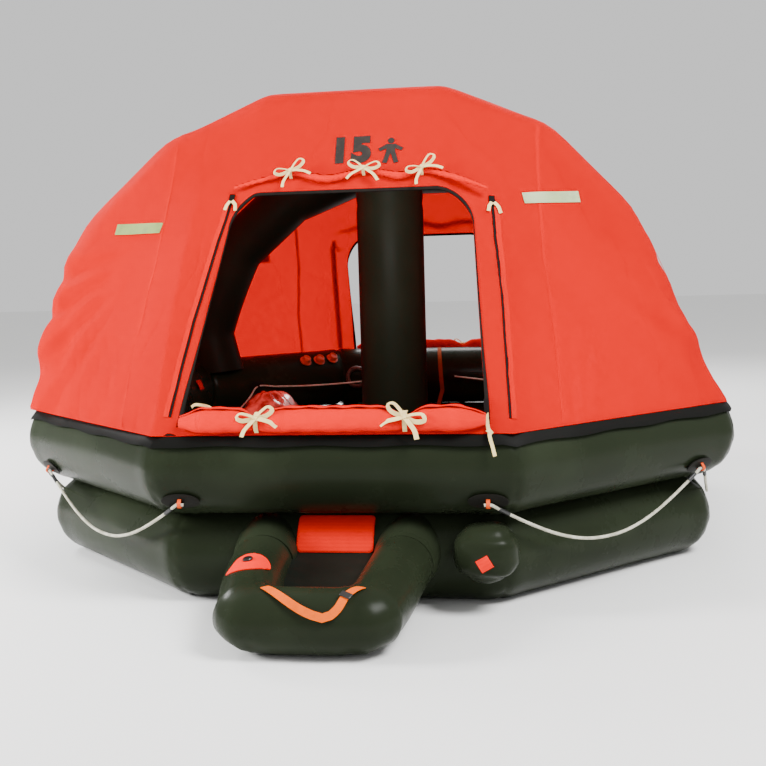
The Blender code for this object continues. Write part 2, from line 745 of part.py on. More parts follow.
def tab_centre(spot):
    index, along = SPOTS[spot]
    return on_upper(index, along, PATCH_ANGLE, UPPER_R + PAD_LIFT + TAB_H / 2)


for spot, (index, along) in SPOTS.items():
    rows = []
    for i in range(7):
        v = -1 + 2 * i / 6
        span = PAD_HALF_WIDTH * sqrt(max(1 - (v * 0.97) ** 2, 0.06))
        rows.append([on_upper(index, along + span * m / 3, PATCH_ANGLE + PAD_HALF_HIGH * v / UPPER_R,
                              UPPER_R + PAD_LIFT) for m in range(-3, 4)])
    v, f = sheet(rows, PAD_THICK)
    pad = solid("grab_patch_" + spot, v, f, patch_black)
    mid, d, out, _ = facet(index)
    radial = out * cos(PATCH_ANGLE) + Vector((0, 0, sin(PATCH_ANGLE)))
    rise = d.cross(radial).normalized()
    c = on_upper(index, along, PATCH_ANGLE, UPPER_R + 0.0020)
    box = []
    for low in (0.0, TAB_OUT):
        for su, sw in ((-1, -1), (1, -1), (1, 1), (-1, 1)):
            box.append(c + radial * low + d * (su * TAB_W / 2) + rise * (sw * TAB_H / 2))
    tab = solid("guide_tab_" + spot, box,
                [(0, 3, 2, 1), (4, 5, 6, 7), (0, 1, 5, 4), (1, 2, 6, 5), (2, 3, 7, 6), (3, 0, 4, 7)],
                patch_black)
    cut(pad, tab, "UNION")

# Grab lines: one hanging bight of rope between each two neighbouring patches
rope_mat = material("rope_cream", ROPE_CREAM, 0.8)


def smooth_route(points, count):
    """Even points along a smooth curve through a few route points."""
    points = [Vector(p) for p in points]
    ends = [points[0] * 2 - points[1]] + points + [points[-1] * 2 - points[-2]]
    fine = []
    for i in range(1, len(ends) - 2):
        p0, p1, p2, p3 = ends[i - 1], ends[i], ends[i + 1], ends[i + 2]
        for k in range(24):
            t = k / 24
            fine.append(0.5 * ((2 * p1) + (p2 - p0) * t + (2 * p0 - 5 * p1 + 4 * p2 - p3) * t * t
                               + (3 * p1 - p0 - 3 * p2 + p3) * t ** 3))
    fine.append(points[-1])
    far = [0.0]
    for a, b in zip(fine, fine[1:]):
        far.append(far[-1] + (b - a).length)
    out, j = [], 0
    for k in range(count):
        want = far[-1] * k / (count - 1)
        while j < len(far) - 2 and far[j + 1] < want:
            j += 1
        t = (want - far[j]) / max(far[j + 1] - far[j], 1e-9)
        out.append(fine[j].lerp(fine[j + 1], min(max(t, 0.0), 1.0)))
    return out


def rope(name, route, spacing=0.031, radius=ROPE_R):
    length = sum((Vector(b) - Vector(a)).length for a, b in zip(route, route[1:]))
    points = smooth_route(route, min(80, max(8, int(length / spacing))))
    curve = bpy.data.curves.new(name, "CURVE")
    curve.dimensions = "3D"
    curve.bevel_depth = radius
    curve.bevel_resolution = 2
    curve.use_fill_caps = True
    spline = curve.splines.new("POLY")
    spline.points.add(len(points) - 1)
    for point, p in zip(spline.points, points):
        point.co = (*p, 1.0)
    curve.materials.append(rope_mat)
    obj = bpy.data.objects.new(name, curve)
    bpy.context.scene.collection.objects.link(obj)
    return obj


BIGHTS = [("front_left", "left_front"), ("left_front", "left_middle"), ("left_middle", "left_rear"),
          ("left_rear", "rear_left"), ("rear_right", "right_rear"), ("right_rear", "right_middle"),
          ("right_middle", "right_front"), ("right_front", "front_right")]
SAG = [0.0, 0.26, 0.50, 0.71, 0.87, 0.97, 1.0, 0.97, 0.87, 0.71, 0.50, 0.26, 0.0]

for a, b in BIGHTS:
    pa, pb = tab_centre(a), tab_centre(b)
    da = facet(SPOTS[a][0])[1]
    db = facet(SPOTS[b][0])[1]
    if da.dot(pb - pa) < 0:
        da = -da
    if db.dot(pa - pb) < 0:
        db = -db
    step = TAB_W / 2 + 0.0003 + ROPE_R * 0.75
    pa, pb = pa + da * step, pb + db * step
    route = []
    out_mid = ((pa + pb) / 2).normalized()
    for k, sag in enumerate(SAG):
        t = k / (len(SAG) - 1)
        p = pa.lerp(pb, t)
        p.z -= ROPE_DROOP * sag
        route.append(p + Vector((out_mid.x, out_mid.y, 0)) * (0.020 * sag))
    rope("grab_line_" + a + "_to_" + b, route)

# Inner life lines along both sides, held by pads on the inside of the upper ring
for side, sign in (("left", 1), ("right", -1)):
    held = []
    for place, (index, along) in INNER_PADS.items():
        index = index if side == "left" else 8 - index
        rows = []
        for i in range(5):
            v = -1 + 2 * i / 4
            rows.append([on_upper(index, along * sign + 0.045 * m / 2, INNER_PAD_ANGLE + 0.03 * v / UPPER_R,
                                  UPPER_R + PAD_LIFT) for m in range(-2, 3)])
        v, f = sheet(rows, PAD_THICK, centre=on_upper(index, along * sign, 0.0, 0.0))
        solid("inner_patch_" + side + "_" + place, v, f, patch_black)
        held.append(on_upper(index, along * sign, INNER_PAD_ANGLE,
                             UPPER_R + PAD_LIFT + INNER_ROPE_R + 0.0012))
    route = []
    for a, b, droop, steps in zip(held, held[1:], INNER_DROOPS, (12, 8)):
        route += [a.lerp(b, k / steps) - Vector((0, 0, 4 * droop * (k / steps) * (1 - k / steps)))
                  for k in range(steps)]
    rope("inner_line_" + side, route + [held[-1]], spacing=0.027, radius=INNER_ROPE_R)

# Equipment bag on the floor by the left wall
bag = []
bag_foot = Vector((BAG_X, BAG_Y, FLOOR_TOP + GAP))
for z, k in BAG_PROFILE:
    ring = []
    for m in range(20):
        a = m * tau / 20
        cx, cy = cos(a), sin(a)
        flat = (abs(cx) ** 2.6 + abs(cy) ** 2.6) ** (-1 / 2.6)
        ring.append(bag_foot + Vector((BAG_HALF_X * k * cx * flat, BAG_HALF_Y * k * cy * flat, z)))
    bag.append(ring)
verts, faces = skin(bag, False)
solid("equipment_bag", verts, faces, material("bag_pink", (0.640, 0.170, 0.150), 0.45))

# Rescue quoit: a rubber ring hung inside at the rear left
quoit = []
for k in range(24):
    a = k * tau / 24
    quoit.append(Vector((QUOIT_X + QUOIT_R * cos(a), RING_HALF_DEPTH - UPPER_R - QUOIT_WIRE + 0.0003,
                         UPPER_Z + QUOIT_UP + QUOIT_R * sin(a))))
verts, faces = skin(mitred(quoit, (0, 1, 0), QUOIT_WIRE, 10, closed=True), True)
solid("rescue_quoit", verts, faces, material("quoit_rubber", (0.150, 0.130, 0.110), 0.7))

# Rear boarding ladder: webbing straps and steps that hang from the upper ring
ladder_line = [on_upper(4, 0.0, radians(LADDER_START * (1 - k / LADDER_WRAP)), UPPER_R + PAD_LIFT)
               for k in range(LADDER_WRAP + 1)]
ladder_line += [ladder_line[-1] - Vector((0, 0, drop)) for drop in LADDER_DROPS]
inside = LADDER_HALF - LADDER_STRAP
grid = [[Vector((x, p.y, p.z)) for x in (-LADDER_HALF, -inside, inside, LADDER_HALF)] for p in ladder_line]
steps_at = {0, LADDER_WRAP + 1, LADDER_WRAP + 3, LADDER_WRAP + 5}
verts, faces = sheet(grid, PAD_THICK, keep=lambda i, j: j != 1 or i in steps_at)
solid("rear_ladder", verts, faces, material("ladder_webbing", (0.130, 0.120, 0.100), 0.75))

# Water pockets, folded flat under the floor
pocket_mat = material("pocket_cloth", (0.070, 0.075, 0.070), 0.8)
for name, side, end in (("front_left", -1, -1), ("front_right", 1, -1),
                        ("rear_left", -1, 1), ("rear_right", 1, 1)):
    loop = [Vector((side * POCKET_X + sx * POCKET_HALF_X, end * POCKET_Y + sy * POCKET_HALF_Y, 0))
            for sx, sy in ((-1, -1), (1, -1), (1, 1), (-1, 1))]
    low = [Vector((p.x * 0.995, p.y * 0.995, 0.0010)) for p in loop]
    high = [Vector((p.x, p.y, FLOOR_LIFT - GAP)) for p in loop]
    v, f = skin([low, high], False)
    solid("water_pocket_" + name, v, f, pocket_mat)
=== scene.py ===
from math import atan2, ceil, cos, exp, hypot, pi, radians, sin, sqrt, tan

import bmesh
import bpy
from mathutils import Matrix, Vector
from mathutils.bvhtree import BVHTree


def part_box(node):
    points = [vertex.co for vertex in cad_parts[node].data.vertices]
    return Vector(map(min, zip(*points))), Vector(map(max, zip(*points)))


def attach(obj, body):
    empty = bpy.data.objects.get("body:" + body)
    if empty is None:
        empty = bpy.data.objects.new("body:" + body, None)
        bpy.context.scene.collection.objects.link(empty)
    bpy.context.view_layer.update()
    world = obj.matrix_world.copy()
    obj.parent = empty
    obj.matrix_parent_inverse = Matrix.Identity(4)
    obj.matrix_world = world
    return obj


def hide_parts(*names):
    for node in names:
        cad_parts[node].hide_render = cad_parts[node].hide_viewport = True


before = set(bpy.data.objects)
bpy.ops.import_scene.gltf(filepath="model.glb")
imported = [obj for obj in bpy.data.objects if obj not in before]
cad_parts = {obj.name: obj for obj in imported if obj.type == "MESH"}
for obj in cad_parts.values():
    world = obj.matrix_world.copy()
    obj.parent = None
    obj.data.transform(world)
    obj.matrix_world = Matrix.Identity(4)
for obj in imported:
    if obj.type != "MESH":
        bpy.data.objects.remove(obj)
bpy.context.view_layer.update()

bpy.ops.object.select_all(action="DESELECT")

# Studio: the raft stands on a pale floor with a white sweep of light all round it. The camera
# looks at its front door from the photograph's place, a little to the right and slightly down.
EYE = Vector((0.6607, -5.0467, 1.0799))
YAW, PITCH, ROLL = 0.140421, 0.100791, 0.028369
FOCAL_PX, FRAME_PX, SENSOR_MM = 1136.0, 766, 36.0

ahead = Vector((-sin(YAW) * cos(PITCH), cos(YAW) * cos(PITCH), -sin(PITCH)))
level = ahead.cross(Vector((0, 0, 1))).normalized()
rise = level.cross(ahead)
camera = bpy.data.objects.new("camera", bpy.data.cameras.new("camera"))
bpy.context.scene.collection.objects.link(camera)
camera.data.sensor_width = SENSOR_MM
camera.data.lens = FOCAL_PX * SENSOR_MM / FRAME_PX
camera.matrix_world = Matrix.Translation(EYE) @ Matrix((
    cos(ROLL) * level - sin(ROLL) * rise, sin(ROLL) * level + cos(ROLL) * rise, -ahead,
)).transposed().to_4x4()
bpy.context.scene.camera = camera


floor_paint = bpy.data.materials.new("studio_floor")
floor_paint.use_nodes = True
surface = floor_paint.node_tree.nodes["Principled BSDF"].inputs
surface["Base Color"].default_value = (0.86, 0.86, 0.85, 1.0)
surface["Roughness"].default_value = 0.7
bpy.ops.mesh.primitive_plane_add(size=60.0, location=(0, 0, -0.0012))
studio_floor = bpy.context.object
studio_floor.name = "studio_floor"
studio_floor.data.materials.append(floor_paint)

world = bpy.data.worlds.new("studio")
world.use_nodes = True
backdrop = world.node_tree.nodes["Background"].inputs
backdrop["Color"].default_value = (1.0, 1.0, 1.0, 1.0)
backdrop["Strength"].default_value = 0.85
bpy.context.scene.world = world


def softbox(name, place, target, size, watts, mirrored=True):
    """A square lamp that looks at its target; one that isn't mirrored leaves no shine on the tubes."""
    lamp = bpy.data.lights.new(name, "AREA")
    lamp.shape = "RECTANGLE"
    lamp.size, lamp.size_y = size
    lamp.energy = watts
    holder = bpy.data.objects.new(name, lamp)
    bpy.context.scene.collection.objects.link(holder)
    holder.location = place
    holder.visible_glossy = mirrored
    holder.rotation_euler = (Vector(target) - Vector(place)).to_track_quat("-Z", "Y").to_euler()


softbox("key_light", (3.6, -3.4, 5.2), (0, 0, 0.8), (2.4, 2.4), 760)
softbox("left_light", (-5.2, -2.6, 2.6), (0, -0.4, 0.9), (1.6, 1.8), 660, mirrored=False)
softbox("window_light", (-4.5, 1.7, 3.3), (-0.9, -1.2, 0.6), (1.8, 0.7), 240)
softbox("rear_light", (0.0, 5.5, 4.5), (0, 0, 0.8), (4.0, 2.0), 380)
softbox("cabin_light", (0.05, -1.02, 1.26), (-0.25, 1.1, 0.35), (0.6, 0.16), 11)

# Grab lines: eight bights of white three-strand rope along the outside of the upper ring, each
# tied at both ends to a webbing loop on a glued pad, the ends whipped with black tape.
FACET_HALF, RING_HALF_DEPTH, RING_HALF_WIDTH = 0.524, 1.475, 1.196
UPPER_R, LOWER_R, LOWER_INSET = 0.160, 0.154, 0.075
LOWER_Z = LOWER_R - 0.004
TOUCH = 0.0004
UPPER_Z = LOWER_Z + sqrt((UPPER_R + LOWER_R + TOUCH) ** 2 - LOWER_INSET ** 2)
UP = Vector((0, 0, 1))
EIGHTH = tan(radians(22.5))


def clamp(value):
    return min(max(value, 0.0), 1.0)


def bell(gap, width):
    """1 where there is no gap, and less and less within about two widths of it."""
    return exp(-(gap / width) ** 2)


def flip(p, x, y):
    return Vector((p.x * x, p.y * y, p.z))


def heading(line, i):
    """The way a line of points runs at one of them."""
    return (line[min(i + 1, len(line) - 1)] - line[max(i - 1, 0)]).normalized()


def beside(p, step):
    """Three points across a narrow tape."""
    return [p - step, p, p + step]


def grid_faces(count, wide, closed=False, base=0):
    """Faces between rows of points; closed joins the last point of a row to its first."""
    faces = []
    for i in range(count - 1):
        here, after = base + i * wide, base + (i + 1) * wide
        for j in range(wide if closed else wide - 1):
            m = (j + 1) % wide
            faces.append((here + j, here + m, after + m, after + j))
    return faces


def octagon(out):
    """Corners of the upper ring's centreline moved outwards, counter-clockwise from front left."""
    grow = out * EIGHTH
    a, b, c = FACET_HALF + grow, RING_HALF_DEPTH + out, RING_HALF_WIDTH + out
    e = RING_HALF_DEPTH - (RING_HALF_WIDTH - FACET_HALF) + grow
    return [(-a, -b), (a, -b), (c, -e), (c, e), (a, b), (-a, b), (-c, e), (-c, -e)]


def facet(index):
    """Middle, direction, outward normal and length of one straight run of the upper ring."""
    corners = octagon(0.0)
    start, end = Vector((*corners[index], 0.0)), Vector((*corners[(index + 1) % 8], 0.0))
    way = (end - start).normalized()
    return (start + end) / 2, way, Vector((way.y, -way.x, 0.0)), (end - start).length


def on_ring(index, along, angle, radius, lower=False):
    """A point beside a ring: along its run, angle above the outward level."""
    middle, way, out, _ = facet(index)
    inset, z = (LOWER_INSET, LOWER_Z) if lower else (0.0, UPPER_Z)
    return middle + way * along + out * (radius * cos(angle) - inset) + UP * (z + radius * sin(angle))


class Strand:
    """A socket of a finish's node tree. Arithmetic on it adds the Math nodes that work it out."""

    def __init__(self, tree, socket=None):
        self.tree = tree
        self.socket = socket

    def add(self, kind, settings=None, inputs=None, output=0):
        node = self.tree.nodes.new(kind)
        for name, value in (settings or {}).items():
            setattr(node, name, value)
        for name, value in (inputs or {}).items():
            if isinstance(value, Strand):
                self.tree.links.new(value.socket, node.inputs[name])
            else:
                node.inputs[name].default_value = value
        return Strand(self.tree, node.outputs[output])

    def maths(self, operation, *values):
        return self.add("ShaderNodeMath", {"operation": operation}, dict(enumerate(values)))

    def __add__(self, other):
        return self.maths("ADD", self, other)

    __radd__ = __add__

    def __sub__(self, other):
        return self.maths("SUBTRACT", self, other)

    def __rsub__(self, other):
        return self.maths("SUBTRACT", other, self)

    def __mul__(self, other):
        return self.maths("MULTIPLY", self, other)

    __rmul__ = __mul__

    def within(self, low, high):
        """0 below low, 1 above high, and a smooth step between."""
        return self.add("ShaderNodeMapRange", {"interpolation_type": "SMOOTHSTEP"},
                        {"Value": self, "From Min": low, "From Max": high})

    def noise(self, scale, detail, where=None):
        where = where or self.add("ShaderNodeTexCoord", output="Object")
        return self.add("ShaderNodeTexNoise", None, {"Vector": where, "Scale": scale, "Detail": detail})

    def waves(self, axis, pitch, where="Object"):
        """Even waves from -1 to 1 along one axis of the object or of its UV map."""
        split = self.add("ShaderNodeSeparateXYZ", None, {
            "Vector": self.add("ShaderNodeTexCoord", output=where)}, axis)
        return self.maths("SINE", split * (2 * pi / pitch))

    def weave(self, pitch):
        return self.waves(0, pitch) * self.waves(2, pitch) + self.waves(1, pitch)

    def blend(self, low, high):
        """From one colour to another as the value goes from 0 to 1."""
        return self.add("ShaderNodeMix", {"data_type": "RGBA"},
                        {0: self, 6: (*low, 1.0), 7: (*high, 1.0)}, 2)

    def into(self, socket):
        self.tree.links.new(self.socket, socket)


def finish(name, colour, roughness, **constants):
    """A material with its fixed values on the shader's own sockets, and the start of its nodes."""
    material = bpy.data.materials.new(name)
    material.use_nodes = True
    shader = material.node_tree.nodes["Principled BSDF"]
    shader.inputs["Base Color"].default_value = (*colour, 1.0)
    shader.inputs["Roughness"].default_value = roughness
    for socket, value in constants.items():
        shader.inputs[socket.replace("_", " ")].default_value = value
    return material, Strand(material.node_tree), shader.inputs


def relief(start, sockets, height, millimetres, strength=1.0):
    """Bump of the given depth from a height between 0 and 1."""
    start.add("ShaderNodeBump", None, {
        "Height": height, "Distance": millimetres / 1000, "Strength": strength,
    }).into(sockets["Normal"])


def rope_finish(name, light, dark):
    material, start, sockets = finish(name, light, 0.85)
    fibres = start.waves(0, 0.0016, "UV") * 0.5 + 0.5
    soil = start.noise(38.0, 5.0)
    (soil * 0.8 + fibres * 0.2).within(0.35, 0.75).blend(dark, light).into(sockets["Base Color"])
    relief(start, sockets, fibres * 0.5 + soil * 0.5, 0.5)
    return material


def clean_mesh(name, points, faces, uvs=None):
    mesh = bpy.data.meshes.new(name)
    mesh.from_pydata([tuple(p) for p in points], [], faces)
    if uvs:
        layer = mesh.uv_layers.new(name="cloth")
        for corner in mesh.loops:
            layer.data[corner.index].uv = uvs[corner.vertex_index]
    return mesh


def place_piece(name, mesh):
    piece = bpy.data.objects.new(name, mesh)
    bpy.context.scene.collection.objects.link(piece)
    return piece


def work_on(piece):
    bpy.ops.object.select_all(action="DESELECT")
    piece.select_set(True)
    bpy.context.view_layer.objects.active = piece


def edit_all(piece):
    work_on(piece)
    bpy.ops.object.mode_set(mode="EDIT")
    bpy.ops.mesh.select_all(action="SELECT")


def close_edit():
    bpy.ops.mesh.select_all(action="SELECT")
    bpy.ops.mesh.normals_make_consistent(inside=False)
    bpy.ops.object.mode_set(mode="OBJECT")


def drawn(name, add, **settings):
    """A piece that starts as one of Blender's own shapes."""
    bpy.ops.object.select_all(action="DESELECT")
    add(**settings)
    piece = bpy.context.object
    piece.name = piece.data.name = name
    return piece


def surface_tree(piece):
    return BVHTree.FromPolygons([v.co.copy() for v in piece.data.vertices],
                                [tuple(p.vertices) for p in piece.data.polygons])


def settle(piece, material, slot, *nodes):
    """The piece takes its finish, stands for its CAD nodes and rides on the raft."""
    piece.data.materials.clear()
    piece.data.materials.append(material)
    if nodes:
        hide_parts(*nodes)
    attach(piece, "root")
    return piece


def smooth_route(points, spacing):
    """Even points along a smooth curve through a few route points."""
    points = [Vector(p) for p in points]
    ends = [points[0] * 2 - points[1]] + points + [points[-1] * 2 - points[-2]]
    fine = []
    for p0, p1, p2, p3 in zip(ends, ends[1:], ends[2:], ends[3:]):
        for k in range(24):
            t = k / 24
            fine.append(0.5 * ((2 * p1) + (p2 - p0) * t + (2 * p0 - 5 * p1 + 4 * p2 - p3) * t * t
                               + (3 * p1 - p0 - 3 * p2 + p3) * t ** 3))
    fine.append(points[-1])
    far = [0.0]
    for a, b in zip(fine, fine[1:]):
        far.append(far[-1] + (b - a).length)
    count = max(8, int(far[-1] / spacing))
    even, j = [], 0
    for k in range(count):
        want = far[-1] * k / (count - 1)
        while j < len(far) - 2 and far[j + 1] < want:
            j += 1
        t = (want - far[j]) / max(far[j + 1] - far[j], 1e-9)
        even.append(fine[j].lerp(fine[j + 1], clamp(t)))
    return even


def laid_rope(name, line, radius, strands, lay, sides):
    """A rope's skin along its line: strands that turn once every lay, closed at both ends."""
    points, uvs = [], []
    side = (line[1] - line[0]).orthogonal().normalized()
    run = 0.0
    for i, p in enumerate(line):
        way = heading(line, i)
        side = (side - way * side.dot(way)).normalized()
        across = way.cross(side)
        run += (p - line[i - 1]).length if i else 0.0
        for k in range(sides):
            a = 2 * pi * k / sides
            bulge = abs(cos(strands * (a - 2 * pi * run / lay) / 2)) if strands else 1.0
            r = radius * (0.80 + 0.20 * bulge)
            points.append(p + side * (r * cos(a)) + across * (r * sin(a)))
            uvs.append((run + a * lay / (2 * pi), a * radius))
    faces = grid_faces(len(line), sides, closed=True)
    faces += [tuple(reversed(range(sides))), tuple(range((len(line) - 1) * sides, len(line) * sides))]
    mesh = clean_mesh(name, points, faces, uvs)
    mesh.shade_smooth()
    return place_piece(name, mesh)


def declare_cord(rope, line, radius, **settings):
    """Works out the rope's length along the line it was made on, and does nothing more with it."""
    length = sum((b - a).length for a, b in zip(line, line[1:]))


ROPE_R, ROPE_DROOP = 0.0055, 0.165
PATCH_ANGLE = radians(-38.0)
TAB_W, DOOR_SPOT = 0.012, 0.490
CHAMFER_END = facet(1)[3] / 2 - 0.115
SPOTS = {
    "front_left": (0, -DOOR_SPOT), "front_right": (0, DOOR_SPOT),
    "right_front": (1, CHAMFER_END), "right_middle": (2, 0.0), "right_rear": (3, -CHAMFER_END),
    "rear_right": (4, -DOOR_SPOT), "rear_left": (4, DOOR_SPOT),
    "left_rear": (5, CHAMFER_END), "left_middle": (6, 0.0), "left_front": (7, -CHAMFER_END),
}
BIGHTS = [("front_left", "left_front"), ("left_front", "left_middle"), ("left_middle", "left_rear"),
          ("left_rear", "rear_left"), ("rear_right", "right_rear"), ("right_rear", "right_middle"),
          ("right_middle", "right_front"), ("right_front", "front_right")]
SAG = [0.0, 0.26, 0.50, 0.71, 0.87, 0.97, 1.0, 0.97, 0.87, 0.71, 0.50, 0.26, 0.0]
PAD_RISE, LOOP_REACH = 0.0034, 0.011
ROPE_STEP = 0.0062
rope_white = rope_finish("grab_rope_white", (0.72, 0.70, 0.58), (0.42, 0.40, 0.30))
whipping_black, _, _ = finish("whipping_tape_black", (0.012, 0.012, 0.012), 0.45)


def tab_centre(spot):
    index, along = SPOTS[spot]
    return on_ring(index, along, PATCH_ANGLE, UPPER_R + PAD_RISE + LOOP_REACH)


def rope_end(spot, other):
    """Where a bight starts, beside the webbing loop on the side of its other pad."""
    place, way = tab_centre(spot), facet(SPOTS[spot][0])[1]
    clear = TAB_W / 2 + 0.0003 + ROPE_R * 0.75
    return place + way * (clear if way.dot(tab_centre(other) - place) > 0 else -clear)


for left_spot, right_spot in BIGHTS:
    start, end = rope_end(left_spot, right_spot), rope_end(right_spot, left_spot)
    out = ((start + end) / 2).normalized()
    route = []
    for k, sag in enumerate(SAG):
        p = start.lerp(end, k / (len(SAG) - 1))
        route.append(p + Vector((out.x, out.y, 0)) * (0.020 * sag) - UP * (ROPE_DROOP * sag))
    line = smooth_route(route, ROPE_STEP)
    bight = left_spot + "_to_" + right_spot
    rope = laid_rope("grab_rope_" + bight, line, ROPE_R, 3, 0.040, 15)
    settle(rope, rope_white, "grab_rope", "grab_line_" + bight)
    whippings = []
    for place, part in (("start", line[5:13]), ("end", line[-13:-5])):
        sleeve = laid_rope("rope_whipping_" + bight + "_" + place, part, ROPE_R + 0.0012, 0, 0.04, 14)
        settle(sleeve, whipping_black, "patch_black")
        whippings.append(sleeve)
    declare_cord(rope, line, ROPE_R, with_pieces=whippings)

# Inner life lines: one thinner rope along each side inside the rings and across to the rear door,
# threaded through three glued pads. It hangs slack along the side and tight over the rear corner.
INNER_ROPE_R = 0.0045
INNER_PAD_ANGLE = pi - radians(3.0)
INNER_PADS = {"front": (6, 0.62), "middle": (5, 0.17), "rear": (4, 0.17)}


def inner_place(side, place):
    """The run of the ring that an inner pad is glued to, and how far along it."""
    index, along = INNER_PADS[place]
    return (index, along) if side == "left" else (8 - index, -along)


def inner_spot(side, place):
    """Where the rope passes through the loop of an inner pad."""
    return on_ring(*inner_place(side, place), INNER_PAD_ANGLE, UPPER_R + 0.0046 + INNER_ROPE_R)


for side in ("left", "right"):
    held = [inner_spot(side, place) for place in INNER_PADS]
    route = []
    for start, end, droop, steps in zip(held, held[1:], (0.145, 0.016), (12, 8)):
        route += [start.lerp(end, k / steps) - UP * (4 * droop * (k / steps) * (1 - k / steps))
                  for k in range(steps)]
    line = smooth_route(route + [held[-1]], ROPE_STEP)
    rope = laid_rope("inner_rope_" + side, line, INNER_ROPE_R, 3, 0.034, 12)
    settle(rope, rope_white, "inner_rope", "inner_line_" + side)
    declare_cord(rope, line, INNER_ROPE_R)

# Buoyancy rings: two stacked tubes of black rubber-coated fabric, each an octagon of straight
# lengths glued at mitred corners, where the cloth puckers. The lower one lies flat on the ground.
RING_SIDES, RING_STEP = 72, 0.030


def rubber_finish(name, tint, gloss, dust=0.5):
    """Black rubberised cloth: a faint weave under the skin, smears of dust and a soft shine."""
    material, start, sockets = finish(name, tint, gloss, Specular_IOR_Level=0.05)
    smear = start.noise(2.6, 6.0).within(0.42, 0.72)
    grain = start.noise(46.0, 4.0)
    spots = start.noise(170.0, 2.0).within(0.62, 0.78)
    dusty = tuple(c * 1.8 + 0.002 for c in tint)
    (smear * dust + spots * (0.25 * dust)).blend(tint, dusty).into(sockets["Base Color"])
    (gloss + smear * 0.10 + grain * 0.06 - 0.04).into(sockets["Roughness"])
    relief(start, sockets, start.weave(0.0021) * 0.02 + grain * 0.20 + smear * 0.60, 0.9)
    return material


def bridged_tube(name, path, normal, radius, sides, spacing, closed=False):
    """A tube made by hand: a circle at each mitre of the path, bridged to the next one."""
    path = [Vector(p) for p in path]
    normal = Vector(normal).normalized()
    count = len(path)
    piece = place_piece(name, bpy.data.meshes.new(name))
    work_on(piece)
    bpy.ops.object.mode_set(mode="EDIT")
    for i, p in enumerate(path):
        before = path[i - 1] if closed or i > 0 else None
        after = path[(i + 1) % count] if closed or i < count - 1 else None
        a = (p - before).normalized() if before else (after - p).normalized()
        b = (after - p).normalized() if after else a
        way = (a + b).normalized()
        side = normal.cross(way)
        turn = Matrix((side, normal, side.cross(normal))).transposed().to_euler()
        bpy.ops.mesh.primitive_circle_add(vertices=sides, radius=radius, location=p, rotation=turn,
                                          scale=(1 / way.dot(a), 1, 1))
    for i in range(count if closed else count - 1):
        shape = bmesh.from_edit_mesh(piece.data)
        shape.verts.ensure_lookup_table()
        ends = {v for k in (i, (i + 1) % count) for v in shape.verts[k * sides:(k + 1) * sides]}
        for edge in shape.edges:
            edge.select_set(False)
        for edge in shape.edges:
            if edge.verts[0] in ends and edge.verts[1] in ends:
                edge.select_set(True)
        bmesh.update_edit_mesh(piece.data)
        cuts = max(0, ceil((path[(i + 1) % count] - path[i]).length / spacing) - 1)
        bpy.ops.mesh.bridge_edge_loops(number_cuts=cuts, interpolation="LINEAR")
    if not closed:
        shape = bmesh.from_edit_mesh(piece.data)
        open_edges = [e for e in shape.edges if e.is_boundary]
        bmesh.ops.holes_fill(shape, edges=open_edges, sides=0)
        bmesh.update_edit_mesh(piece.data)
    close_edit()
    bpy.ops.object.shade_smooth_by_angle(angle=radians(50))
    return piece


def pucker_ring(piece, inset, z, radius):
    """Cloth gathers at the mitred corners: the seam pulls in and small folds run out from it."""
    runs = [facet(index) for index in range(8)]
    for vertex in piece.data.vertices:
        p = vertex.co
        fits = []
        for middle, way, out, length in runs:
            away = p - middle
            depth = away.dot(out) + inset
            along, half = away.dot(way), length / 2 - inset * EIGHTH + depth * EIGHTH
            fits.append((abs(along) - half, middle, way, out, along, half, depth))
        _, middle, way, out, along, half, depth = min(fits, key=lambda fit: fit[0])
        t = clamp((along / half + 1) / 2)
        along = half * (2 * (t - 0.74 * sin(2 * pi * t) / (2 * pi)) - 1)
        gap = half - abs(along)
        height = p.z - z
        round_angle = Vector((depth, height)).angle_signed(Vector((1, 0)), 0.0)
        folds = sin(9 * round_angle + 2.0) * 0.6 + sin(17 * round_angle + along * 3) * 0.4
        shrink = (-0.0075 * bell(gap, 0.012) + 0.0022 * bell(gap - 0.05, 0.03)
                  + 0.0022 * folds * exp(-gap / 0.075)
                  + 0.0012 * sin(along * 7.1 + 7) * sin(2 * round_angle + along * 2.3))
        scale = 1 + shrink / radius
        vertex.co = middle + way * along + out * (depth * scale - inset) + UP * (z + height * scale)


tube_black = rubber_finish("ring_rubber_black", (0.0125, 0.0165, 0.0086), 0.26)
for name, inset, z, radius in (("upper", 0.0, UPPER_Z, UPPER_R), ("lower", LOWER_INSET, LOWER_Z, LOWER_R)):
    ring = bridged_tube(name + "_ring", [(x, y, z) for x, y in octagon(-inset)], UP, radius, RING_SIDES,
                        RING_STEP, closed=True)
    pucker_ring(ring, inset, z, radius)
    for vertex in ring.data.vertices:
        vertex.co.z = max(vertex.co.z, 0.0)
    settle(ring, tube_black, "tube_black", name + "_buoyancy_tube")

# Arches, ridge and column: inflated tubes of the same cloth. Two arches stand on the upper ring,
# the ridge joins them at the top, and the column carries the ridge from the floor.
ARCH_Y, ARCH_R, RIDGE_R, COLUMN_R = 0.85, 0.1345, 0.1375, 0.1475
WRAP_R = ARCH_R + 0.009
CROWN = [(1.215, 0.800), (1.010, 1.275), (0.705, 1.575), (0.325, 1.730)]
ARCH_FOOT = (1.195, 0.545)
FLOOR_TOP, ARCH_SIDES = 0.0624, 48


